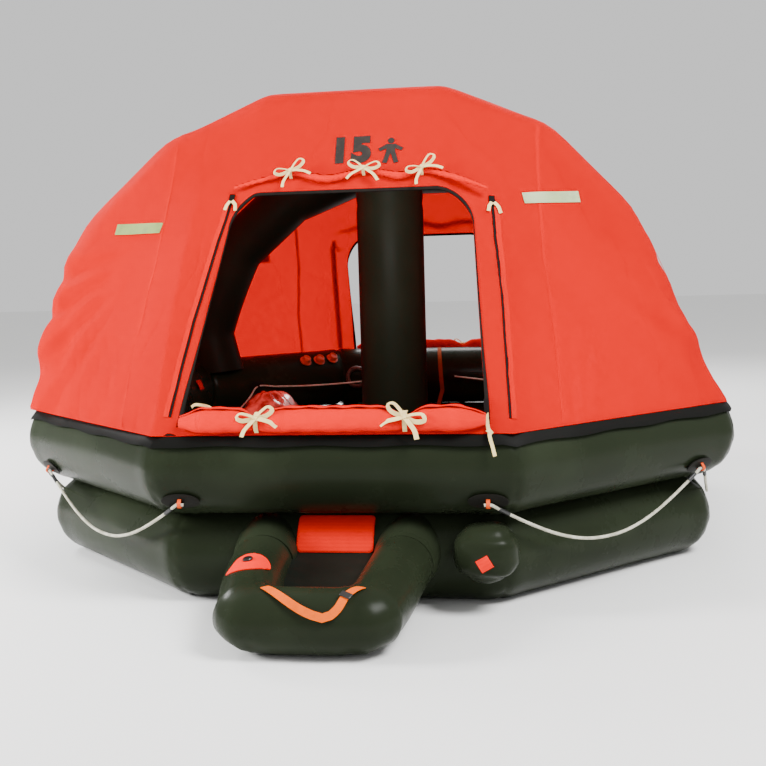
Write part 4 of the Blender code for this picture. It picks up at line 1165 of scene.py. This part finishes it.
# Curtain ties: flat cream tapes sewn to the canopy, passed round each roll and tied in a bow, with
# two loops that stand off the wall and two tails.


def ribbon(path, width, twist, spacing=0.006):
    """Rows of a loose tape along a path; twist turns its face from the wall towards the viewer."""
    line = smooth_route(path, spacing)
    rows = []
    for i, p in enumerate(line):
        side = FACE_OUT.cross(heading(line, i)).normalized() * cos(twist) + FACE_OUT * sin(twist)
        rows.append(beside(p, side * (width / 2)))
    return rows


def loose_tape(name, rows, thickness=0.0014):
    """A loose tape, thick to both sides of its rows."""
    return cloth(name, rows, thickness, TENT_MIDDLE, 0.0)


BOW_LOOPS = [
    [(0, 0, 0.004), (-0.018, 0.010, 0.012), (-0.042, 0.017, 0.017), (-0.054, 0.006, 0.014),
     (-0.036, -0.004, 0.008), (0, 0, 0.005)],
    [(0, 0, 0.004), (0.020, 0.014, 0.012), (0.044, 0.024, 0.018), (0.056, 0.012, 0.014),
     (0.034, 0.000, 0.008), (0, 0, 0.005)],
]
BOW_TAILS = [
    [(0, 0, 0.005), (-0.014, -0.016, 0.009), (-0.036, -0.034, 0.005), (-0.046, -0.052, 0.003)],
    [(0, 0, 0.005), (0.020, -0.010, 0.010), (0.044, -0.022, 0.006), (0.062, -0.040, 0.003)],
]
BOW_TWISTS = (0.7, -0.6, 0.25, -0.2)
BOW_KNOT = [(-0.007, -0.006, 0.004), (0.0, 0.0, 0.010), (0.007, 0.006, 0.004)]


def bow(name, end, x, z, reach, turn, scale, width, wrap_high):
    """A band round the roll with a knot, two loops and two tails, all of one flat tape."""
    centre = on_face(x, z) + FACE_OUT * reach

    def at(u, w, out):
        c, s = cos(turn), sin(turn)
        across, up = scale * (u * c - w * s), scale * (u * s + w * c)
        return centre + Vector((1, 0, 0)) * across + FACE_RISE * up + FACE_OUT * (out * scale)

    band = []
    for k in range(15):
        a = pi * (k / 14 * 1.16 - 0.08)
        p = on_face(x, z) + FACE_RISE * (wrap_high * cos(a)) + FACE_OUT * (reach * max(sin(a), 0.04))
        band.append(beside(p, Vector((width / 2, 0, 0))))
    parts = [band]
    for path, twist in zip(BOW_LOOPS + BOW_TAILS, BOW_TWISTS):
        parts.append(ribbon([at(*p) for p in path], width * scale ** 0.5, twist))
    parts.append(ribbon([at(*p) for p in BOW_KNOT], width * 1.1, 0.0, 0.003))
    pieces = [loose_tape("tape", flipped(rows, 1, end), 0.0011) for rows in parts]
    settle(join(name, pieces), tie_cream, "grab_rope")


for name, end, x, turn, scale, width, wrap_high in (
        ("front_low_left", 1, FRONT_TIES[0], 10, 1.05, 0.014, 0.035),
        ("front_low_right", 1, FRONT_TIES[1], -28, 1.15, 0.014, 0.035),
        ("rear_low_left", -1, REAR_TIES[0], 12, 1.0, 0.012, 0.034),
        ("rear_low_right", -1, REAR_TIES[1], -15, 1.0, 0.012, 0.034)):
    bow("bow_" + name, end, x, ROLL_Z, 0.036, radians(turn), scale, width, wrap_high)
for k, (x, z, turn) in enumerate(((-0.196, 1.413, 22), (0.060, 1.413, -12), (0.262, 1.407, 28))):
    bow("bow_front_high_" + "abc"[k], 1, x, z, 0.020, radians(turn), 1.0, 0.011, 0.017)
for k, x in enumerate((-0.25, 0.0, 0.25)):
    bow("bow_rear_high_" + "abc"[k], -1, x, 1.321, 0.024, radians(15 - 14 * k), 0.9, 0.009, 0.021)

# Loose ends at the sill: a black loop and a long cream tape by the right jamb, and a short tie on
# the left, which hold the lower curtain's corners when it is closed.
SILL_TAPES = [[(0.489, 0.640, 0.005), (0.489, 0.615, 0.006), (0.492, 0.590, 0.010), (0.498, 0.566, 0.013)],
              [(0.497, 0.572, 0.016), (0.500, 0.550, 0.017), (0.507, 0.528, 0.015), (0.515, 0.500, 0.012)]]
SILL_KNOT = [(0.490, 0.574, 0.012), (0.498, 0.569, 0.021), (0.506, 0.563, 0.012)]
SILL_LOOP = [(0.486, 0.668, 0.002), (0.486, 0.655, 0.006), (0.488, 0.635, 0.007), (0.489, 0.618, 0.005)]
LEFT_TIE = [(-0.452, 0.650, 0.010), (-0.440, 0.655, 0.016), (-0.420, 0.652, 0.022), (-0.398, 0.650, 0.016),
            (-0.385, 0.643, 0.020)]
hanging = [loose_tape("tape", ribbon(off_face(places), 0.011, 0.15)) for places in SILL_TAPES]
hanging.append(loose_tape("tape", ribbon(off_face(SILL_KNOT), 0.012, 0.0, 0.003), 0.0020))
settle(join("sill_tape_right", hanging), tie_cream, "grab_rope")
settle(loose_tape("sill_loop_right", ribbon(off_face(SILL_LOOP), 0.014, 0.0)), zip_black, "hem_black")
settle(loose_tape("sill_tape_left", ribbon(off_face(LEFT_TIE), 0.009, 0.5)), tie_cream, "grab_rope")

# Grab line pads: an oval of rubber cloth glued to the upper ring, with a loop of orange webbing
# sewn through it. The rope runs through the loop and is spliced back on itself beside it.
pad_black = rubber_finish("pad_rubber_black", (0.0090, 0.0085, 0.0070), 0.50, 0.6)
loop_orange = webbing_finish("loop_webbing_orange", (0.80, 0.085, 0.010), (0.45, 0.050, 0.008), 0.0016)
LOOP_PROFILE = [(-0.014, 0), (-0.0115, 0.006), (-0.0085, 0.0165), (0, 0.0205), (0.0085, 0.0165),
                (0.0115, 0.006), (0.014, 0)]


def oval_pad(name, index, along, angle, half_wide, half_high):
    """A thin oval of rubber cloth bent round the upper ring."""
    rows = []
    for i in range(15):
        v = sin(pi / 2 * (-1 + 2 * i / 14))
        span = half_wide * sqrt(max(1 - v * v, 0.0)) + 0.0015
        rows.append([on_ring(index, along + span * m / 8, angle + half_high * v / UPPER_R,
                             UPPER_R + 0.0022 + 0.0012 * (1 - (m / 8) ** 4) * (1 - v ** 4))
                     for m in range(-8, 9)])
    middle = on_ring(index, along, angle, UPPER_R - 0.05)
    return cloth(name, rows, 0.0034, middle)


for spot, (index, along) in SPOTS.items():
    pad = oval_pad("grab_pad_" + spot, index, along, PATCH_ANGLE, 0.062, 0.033)
    settle(pad, pad_black, "patch_black", "grab_patch_" + spot)
    _, way, out, _ = facet(index)
    radial = out * cos(PATCH_ANGLE) + UP * sin(PATCH_ANGLE)
    climb = way.cross(radial).normalized()
    foot = on_ring(index, along, PATCH_ANGLE, UPPER_R + 0.0030)
    profile = smooth_route([foot + climb * up + radial * off for up, off in LOOP_PROFILE], 0.003)
    rows = [beside(p, way * (TAB_W / 2)) for p in profile]
    webbing_loop = cloth("grab_loop_" + spot, rows, 0.0018, foot + radial * 0.010, 0.0)
    settle(webbing_loop, loop_orange, "patch_black")
    eye = laid_rope("grab_eye_" + spot, [foot + radial * 0.0114 + way * (0.0025 * k) for k in range(-5, 6)],
                    ROPE_R, 3, 0.040, 12)
    settle(eye, rope_white, "grab_rope")

for side in ("left", "right"):
    for place in INNER_PADS:
        index, along = inner_place(side, place)
        pad = oval_pad("inner_pad_" + side + "_" + place, index, along, INNER_PAD_ANGLE, 0.046, 0.031)
        settle(pad, pad_black, "patch_black", "inner_patch_" + side + "_" + place)
        spot = inner_spot(side, place)
        _, way, out, _ = facet(index)
        loop_rows = []
        for k in range(13):
            a = pi * k / 12
            arc = -out * (0.0072 * sin(a)) + UP * (0.0085 * cos(a))
            loop_rows.append(beside(spot + out * 0.0028 + arc, way * 0.008))
        settle(cloth("inner_loop_" + side + "_" + place, loop_rows, 0.0012, spot, 0.0), zip_black,
               "patch_black")

# Boarding ramp: one bent tube that grows out of cuffs on the lower ring, with a deck of cloth
# between its legs and a webbing handle over its toe.
RAMP_R, RAMP_Y, RAMP_Z, RAMP_RISE = 0.095, -1.990, 0.0965, 0.17
ROOT_Y, RAMP_ROOT_HALF, RAMP_TOE_HALF = -1.40, 0.240, 0.190
CUFF_LONG, CUFF_PUFF = 0.215, 0.0085


def ramp_z(y):
    return RAMP_Z + RAMP_RISE * (y - RAMP_Y)


def ramp_half(sign, toe):
    return [Vector((sign * x, y, ramp_z(y))) for x, y in (
        (RAMP_ROOT_HALF, ROOT_Y), (RAMP_ROOT_HALF - 0.009, ROOT_Y - 0.12), (toe + 0.030, RAMP_Y + 0.26),
        (toe + 0.012, RAMP_Y + 0.125), (toe - 0.006, RAMP_Y + 0.055), (toe - 0.045, RAMP_Y + 0.015),
        (toe - 0.095, RAMP_Y), (toe - 0.140, RAMP_Y))]


ramp_points = ramp_half(-1, RAMP_TOE_HALF) + ramp_half(1, RAMP_TOE_HALF - 0.014)[::-1]
ramp_up = Vector((0, -RAMP_RISE, 1)).normalized()
ramp = bridged_tube("boarding_ramp_tube", smooth_route(ramp_points, 0.045), ramp_up, RAMP_R, 56, 0.02)
for vertex in ramp.data.vertices:
    p = vertex.co
    outwards = Vector((abs(p.x) - RAMP_TOE_HALF + 0.085, RAMP_Y + 0.075 - p.y))
    if outwards.x > 0 and outwards.y > 0:
        square = sin(2 * outwards.angle(Vector((1, 0)))) ** 2 * min(outwards.length / 0.17, 1.0) ** 2
        push = outwards.normalized() * (0.032 * square)
        p.x += push.x * (1 if p.x > 0 else -1)
        p.y -= push.y
    if p.y < RAMP_Y + 0.16:
        fold = bell(abs(p.x) - 0.155, 0.045) * sin(p.x * 190 + p.y * 60)
        p.z += 0.0022 * fold
        p.y += 0.0016 * fold
    p.z = max(p.z, 0.0)
settle(ramp, tube_black, "tube_black", "ramp_tube")


def leg_line(sign):
    """Start and direction of the straight part of a leg."""
    leg = ramp_half(sign, RAMP_TOE_HALF)
    return leg[0], (leg[3] - leg[0]).normalized()


for name, sign in (("left", -1), ("right", 1)):
    start, way = leg_line(sign)
    cuff = bridged_tube("ramp_collar_" + name, [start, start + way * CUFF_LONG], ramp_up, RAMP_R + 0.002,
                        56, 0.012)
    for vertex in cuff.data.vertices:
        run = (vertex.co - start).dot(way)
        centre = start + way * run
        spoke = vertex.co - centre
        puff = CUFF_PUFF * sin(pi * clamp(run / CUFF_LONG)) ** 0.7 + 0.0012 * sin(run * 260)
        vertex.co = centre + spoke * (1 + puff / spoke.length)
    settle(cuff, tube_black, "cuff_black", "ramp_cuff_" + name)

deck_rows = []
for k in range(26):
    y = -1.548 - 0.0135 * k
    t = (y - ROOT_Y) / (RAMP_Y + 0.125 - ROOT_Y)
    half = RAMP_ROOT_HALF + (RAMP_TOE_HALF + 0.012 - RAMP_ROOT_HALF) * min(t, 1.0) - RAMP_R + 0.010
    half -= 0.05 * max(0.0, (-1.86 - y) / 0.04) ** 2 if y < -1.86 else 0.0
    row = []
    for m in range(-10, 11):
        sag = 0.012 * cos(pi * m / 20) * sin(pi * (y + 1.54) / -0.36)
        pull = 0.0016 * sin(y * 90 + m * 0.5) * (abs(m) / 10) ** 2
        row.append(Vector((half * m / 10, y, ramp_z(y) + 0.010 - sag + pull)))
    deck_rows.append(row)
deck = cloth("ramp_deck_cloth", deck_rows, 0.0016, (0, -1.7, -1.0))
deck_black = rubber_finish("deck_cloth_black", (0.0060, 0.0075, 0.0055), 0.55, 0.7)
settle(deck, deck_black, "deck_black", "ramp_deck")

handle_orange = webbing_finish("handle_webbing_orange", (0.80, 0.115, 0.0010), (0.50, 0.070, 0.0010), 0.0018)
HANDLE = [(-0.126, 88, 0.002), (-0.100, 72, 0.006), (-0.052, 50, 0.010), (-0.006, 34, 0.012),
          (0.040, 24, 0.013), (0.070, 23, 0.013), (0.098, 36, 0.011), (0.116, 58, 0.009),
          (0.138, 78, 0.006), (0.154, 92, 0.002)]
radials, spine, handle_rows = [], [], []
for x, degrees, stand in smooth_route(HANDLE, 4.0):
    a = radians(degrees)
    radials.append(Vector((0, -cos(a), sin(a))))
    spine.append(Vector((x, RAMP_Y, RAMP_Z)) + radials[-1] * (RAMP_R + 0.0022 + stand))
for i, (p, radial) in enumerate(zip(spine, radials)):
    side = radial.cross(heading(spine, i)).normalized()
    handle_rows.append([p + side * (0.0125 * m) for m in (-1, -0.5, 0, 0.5, 1)])
handle = cloth("ramp_handle_strap", handle_rows, 0.0024, (0, RAMP_Y, RAMP_Z))
settle(handle, handle_orange, "handle_orange", "ramp_handle")
buckle_black = patchy_finish("buckle_black", (0.010, 0.009, 0.008), 0.35, (90.0, 3.0), None,
                             (0.008, 0.008, 0.008), (0.022, 0.020, 0.018))
BUCKLE_X = 0.117
near = min(range(len(spine)), key=lambda i: abs(spine[i].x - BUCKLE_X))
buckle_way = heading(spine, near)
buckle_side = radials[near].cross(buckle_way).normalized()
buckle = drawn("handle_buckle", bpy.ops.mesh.primitive_cube_add, size=1.0, location=(0, 0, 0))
edit_all(buckle)
bpy.ops.transform.resize(value=(0.034, 0.020, 0.0050))
bpy.ops.mesh.bevel(offset=0.0016, segments=3, affect="EDGES")
bpy.ops.object.mode_set(mode="OBJECT")
turn = Matrix((buckle_side, buckle_way, buckle_side.cross(buckle_way))).transposed().to_4x4()
buckle.data.transform(Matrix.Translation(spine[near] + radials[near] * 0.003) @ turn)
bpy.ops.object.shade_smooth_by_angle(angle=radians(35))
settle(buckle, buckle_black, "handle_orange")

# Valve plate: a blank half-moon of orange rubber on the left leg, round the ramp's filling valve.
plate_orange = webbing_finish("plate_rubber_orange", (0.92, 0.0080, 0.0006), (0.72, 0.0080, 0.0008), 0.009,
                              0.45, 0.25)
PLATE_MIDDLE, PLATE_R, PLATE_TURN = 0.405, 0.074, -0.12
leg_start, leg_way = leg_line(-1)
leg_side = ramp_up.cross(leg_way).normalized()


def on_leg(along, angle, radius):
    return leg_start + leg_way * along + radius * (cos(angle) * ramp_up + sin(angle) * leg_side)


plate_rows = []
for i in range(15):
    v = i / 14
    run = -0.036 + 0.082 * v
    span = PLATE_R * sqrt(max(1 - ((v * 0.985) ** 2.2), 0.02)) * min(1.0, 0.86 + 1.6 * v)
    plate_rows.append([on_leg(PLATE_MIDDLE - run + 0.030 * (1 - v) * (1 - (m / 8) ** 2),
                              (span * m / 8) / RAMP_R + PLATE_TURN, RAMP_R + 0.0034)
                       for m in range(-8, 9)])
plate = cloth("ramp_valve_plate_blank", plate_rows, 0.0028, leg_start + leg_way * PLATE_MIDDLE)
settle(plate, plate_orange, "plate_orange", "ramp_valve_plate")
VALVE_ALONG = PLATE_MIDDLE - 0.002
valve_at = on_leg(VALVE_ALONG, PLATE_TURN, RAMP_R + 0.0030)
valve_out = (valve_at - (leg_start + leg_way * VALVE_ALONG)).normalized()


def turned_plug(name, profile, place, out):
    """A round moulding standing at its place: a circle extruded and resized ring by ring."""
    piece = drawn(name, bpy.ops.mesh.primitive_circle_add, vertices=32, radius=profile[0][0],
                  fill_type="NGON", location=(0, 0, profile[0][1]))
    edit_all(piece)
    for (r0, z0), (r1, z1) in zip(profile, profile[1:]):
        bpy.ops.mesh.extrude_region_move(TRANSFORM_OT_translate={"value": (0, 0, z1 - z0)})
        bpy.ops.transform.resize(value=(r1 / r0, r1 / r0, 1))
    close_edit()
    piece.data.transform(Matrix.Translation(piece.location))
    piece.location = (0, 0, 0)
    bpy.ops.object.shade_smooth_by_angle(angle=radians(35))
    piece.data.transform(Matrix.Translation(place) @ out.to_track_quat("Z", "Y").to_matrix().to_4x4())
    return piece


VALVE_PROFILE = [(0.0150, -0.002), (0.0150, 0.0040), (0.0130, 0.0062), (0.0095, 0.0062), (0.0088, 0.0030),
                 (0.0050, 0.0030), (0.0045, 0.0052), (0.0020, 0.0054)]
settle(turned_plug("ramp_filling_valve", VALVE_PROFILE, valve_at, valve_out), buckle_black, "plate_orange")

# Boarding sign: a blank orange plate of rubber glued to the lower ring above the ramp, with a
# darker edge welded round it.
sign_orange = webbing_finish("sign_rubber_orange", (0.95, 0.0085, 0.0006), (0.76, 0.0080, 0.0008), 0.012,
                             0.45, 0.20)
SIGN_LOW, SIGN_HIGH, SIGN_HALF, SIGN_X = radians(13), radians(59), 0.121, -0.004


def sign_shape(name, grow, lift, thickness):
    """A plate with rounded corners, bent round the lower ring."""
    rows = []
    corner = 0.014
    high = (SIGN_HIGH - SIGN_LOW) * LOWER_R + 2 * grow
    for i in range(21):
        run = high * (1 - cos(pi * i / 20)) / 2
        edge_gap = min(run, high - run)
        cut = corner - sqrt(max(corner ** 2 - (corner - edge_gap) ** 2, 0.0)) if edge_gap < corner else 0.0
        half = SIGN_HALF + grow - cut
        rows.append([on_ring(0, SIGN_X + half * m / 6, SIGN_LOW + (run - grow) / LOWER_R, LOWER_R + lift,
                             lower=True) for m in range(-6, 7)])
    return cloth(name, rows, thickness, (0, 0, LOWER_Z))


settle(sign_shape("boarding_sign_edge", 0.0035, 0.0026, 0.0020), plate_orange, "sign_orange")
settle(sign_shape("boarding_sign_blank", 0.0, 0.0040, 0.0022), sign_orange, "sign_orange", "boarding_sign")

# Cylinder pouch: the gas bottle's head sits in a round pouch of black rubber cloth laced to the
# lower ring's front, with a blank orange tag on it.
POUCH_MIDDLE = Vector((0.480, -1.560, 0.188))
pouch = drawn("cylinder_pouch", bpy.ops.mesh.primitive_uv_sphere_add, segments=64, ring_count=40,
              radius=1.0, location=(0, 0, 0))
for vertex in pouch.data.vertices:
    p = vertex.co.copy()
    boxy = (abs(p.x) ** 3 + abs(p.y) ** 3 + abs(p.z) ** 3) ** (-1 / 3)
    creases = (sin(p.x * 9 + p.z * 5) * 0.5 + sin(p.z * 13 + p.x * 4 + 1.0) * 0.5)
    gather_in = 0.10 * bell(p.z + 0.72, 0.16) + 0.05 * bell(p.z - 0.66, 0.12)
    r = (boxy * 0.55 + 0.45) * (1 - gather_in) * (1 + 0.016 * creases)
    vertex.co = POUCH_MIDDLE + Vector((p.x * r * 0.103, p.y * r * 0.103, p.z * r * 0.094))
bpy.ops.object.shade_smooth_by_angle(angle=radians(60))
settle(pouch, tube_black, "pouch_black", "cylinder_head_pouch")
TAG_MIDDLE, TAG_HALF = Vector((0.478, -1.6605, 0.176)), 0.021
pouch_skin = surface_tree(pouch)
tag_rows = []
for i in range(7):
    v = -1 + i / 3
    row = []
    for u in (-1, -0.5, 0, 0.5, 1):
        flat = Vector((TAG_HALF * (u * 0.86 - v * 0.50), -0.1, TAG_HALF * (u * 0.50 + v * 0.86)))
        row.append(pouch_skin.ray_cast(TAG_MIDDLE + flat, Vector((0, 1, 0)))[0] - Vector((0, 0.0022, 0)))
    tag_rows.append(row)
settle(cloth("pouch_tag_blank", tag_rows, 0.0014, POUCH_MIDDLE), sign_orange, "plate_orange")

# Floor and water pockets: the floor is a cushion of black rubber cloth inside the lower ring;
# four ballast pockets of thinner cloth lie folded flat beneath it.
floor_black = rubber_finish("floor_rubber_black", (0.0080, 0.0090, 0.0075), 0.55, 0.8)
pocket_grey = webbing_finish("pocket_cloth_grey", (0.030, 0.033, 0.030), (0.015, 0.016, 0.014), 0.0018)
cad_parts["floor"].material_slots[0].material = floor_black
for name in ("front_left", "front_right", "rear_left", "rear_right"):
    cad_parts["water_pocket_" + name].material_slots[0].material = pocket_grey

# Rear ladder: two webbing straps with three sewn steps, hung from the upper ring at the rear
# door. Its shape is the CAD's own.
ladder_webbing = webbing_finish("ladder_webbing", (0.060, 0.052, 0.036), (0.030, 0.026, 0.018), 0.0020)
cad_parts["rear_ladder"].material_slots[0].material = ladder_webbing

# Things kept inside: the rescue quoit on its hook, the clear pink bag with the raft's equipment,
# the orange stoppers on their cords, a blank red patch and the rear entry strap.
quoit_rubber = patchy_finish("quoit_rubber", (0.060, 0.048, 0.036), 0.6, (70.0, 4.0), (0.35, 0.7),
                             (0.050, 0.040, 0.030), (0.100, 0.080, 0.056), 0.4)
quoit_low, quoit_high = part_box("rescue_quoit")
quoit = drawn("quoit_ring", bpy.ops.mesh.primitive_torus_add, major_segments=64, minor_segments=20,
              major_radius=0.052, minor_radius=0.0119, location=(0, 0, 0))
quoit.data.transform(Matrix.Translation((quoit_low + quoit_high) / 2) @ Matrix.Rotation(pi / 2, 4, "X"))
bpy.ops.object.shade_smooth()
settle(quoit, quoit_rubber, "quoit_rubber", "rescue_quoit")

bag_pink = patchy_finish("bag_film_pink", (0.52, 0.055, 0.040), 0.22, (14.0, 6.0), (0.36, 0.66),
                         (0.26, 0.022, 0.016), (0.80, 0.20, 0.16), 6.0, Coat_Weight=0.6,
                         Coat_Roughness=0.12)
bag = drawn("equipment_bag_film", bpy.ops.mesh.primitive_uv_sphere_add, segments=72, ring_count=44,
            radius=1.0, location=(0, 0, 0))
bag_low, bag_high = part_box("equipment_bag")
bag_middle, bag_half = (bag_low + bag_high) / 2, (bag_high - bag_low) / 2
for vertex in bag.data.vertices:
    p = vertex.co.copy()
    boxy = (abs(p.x) ** 3.2 + abs(p.y) ** 3.2 + abs(p.z) ** 3.2) ** (-1 / 3.2)
    neck = 1.0 - 0.34 * max(p.z, 0.0) ** 3
    ridge_line = (sin(p.x * 7 + p.y * 4) * sin(p.y * 8 - p.z * 5) + 0.6 * sin(p.z * 17 + p.x * 9)
                  * sin(p.y * 13 + 1))
    r = (boxy * 0.8 + 0.2) * (0.96 + 0.035 * ridge_line)
    vertex.co = bag_middle + Vector((p.x * bag_half.x * r * neck, p.y * bag_half.y * r * neck,
                                     min(max(p.z * r, -1.0), 1.0) * bag_half.z))
bpy.ops.object.shade_smooth_by_angle(angle=radians(60))
settle(bag, bag_pink, "bag_pink", "equipment_bag")

stopper_orange = patchy_finish("stopper_orange", (0.62, 0.070, 0.020), 0.40, (50.0, 3.0), (0.4, 0.7),
                               (0.66, 0.075, 0.022), (0.42, 0.050, 0.018))
STOPPER_PROFILE = [(0.0330, 0.0), (0.0330, 0.0040), (0.0270, 0.0065), (0.0240, 0.0220), (0.0225, 0.0270),
                   (0.0170, 0.0290), (0.0150, 0.0240), (0.0060, 0.0235)]
STOPPERS = [(5, -0.180, 133.0), (5, -0.270, 134.0), (5, -0.362, 132.0), (5, -0.040, 222.0)]
for k, (index, along, degrees) in enumerate(STOPPERS):
    a = radians(degrees)
    place = on_ring(index, along, a, UPPER_R - 0.001)
    away = (place - on_ring(index, along, a, 0.0)).normalized()
    stopper = turned_plug("stopper_" + "abcd"[k], STOPPER_PROFILE, place, away)
    settle(stopper, stopper_orange, "plate_orange")

patch_red = webbing_finish("inside_patch_red", (0.50, 0.030, 0.022), (0.34, 0.022, 0.018), 0.006)
patch_rows = [[on_ring(6, -0.47 + 0.034 * u, pi - radians(24) + 0.026 * v / UPPER_R, UPPER_R + 0.0020)
               for u in (-1, -0.5, 0, 0.5, 1)] for v in (-1, -0.6, -0.2, 0.2, 0.6, 1)]
inside_patch = cloth("inside_patch_blank", patch_rows, 0.0012, on_ring(6, -0.47, pi, 0.0))
settle(inside_patch, patch_red, "plate_orange")

strap_brown = webbing_finish("entry_strap_brown", (0.30, 0.070, 0.020), (0.18, 0.045, 0.015), 0.0018)
HALF_STRAP = Vector((0.011, 0, 0))
STRAP_OVER = [(0.098, 205, 0.004), (0.090, 160, 0.004), (0.080, 120, 0.003), (0.076, 96, 0.003)]
strap = [on_ring(4, -x, radians(degrees), UPPER_R + stand)
         for x, degrees, stand in smooth_route(STRAP_OVER, 4.0)]
leaves = strap[0]
drape = smooth_route([leaves, leaves + Vector((-0.020, -0.030, -0.080)),
                      leaves + Vector((-0.045, -0.050, -0.200)),
                      Vector((leaves.x - 0.060, leaves.y - 0.060, 0.075)),
                      Vector((leaves.x - 0.075, leaves.y - 0.150, 0.0655))], 0.008)
strap_rows = [beside(p, HALF_STRAP) for p in drape[:0:-1] + strap]
settle(cloth("rear_entry_strap", strap_rows, 0.0016, (0, 1.475, 0.455)), strap_brown, "ladder_webbing")
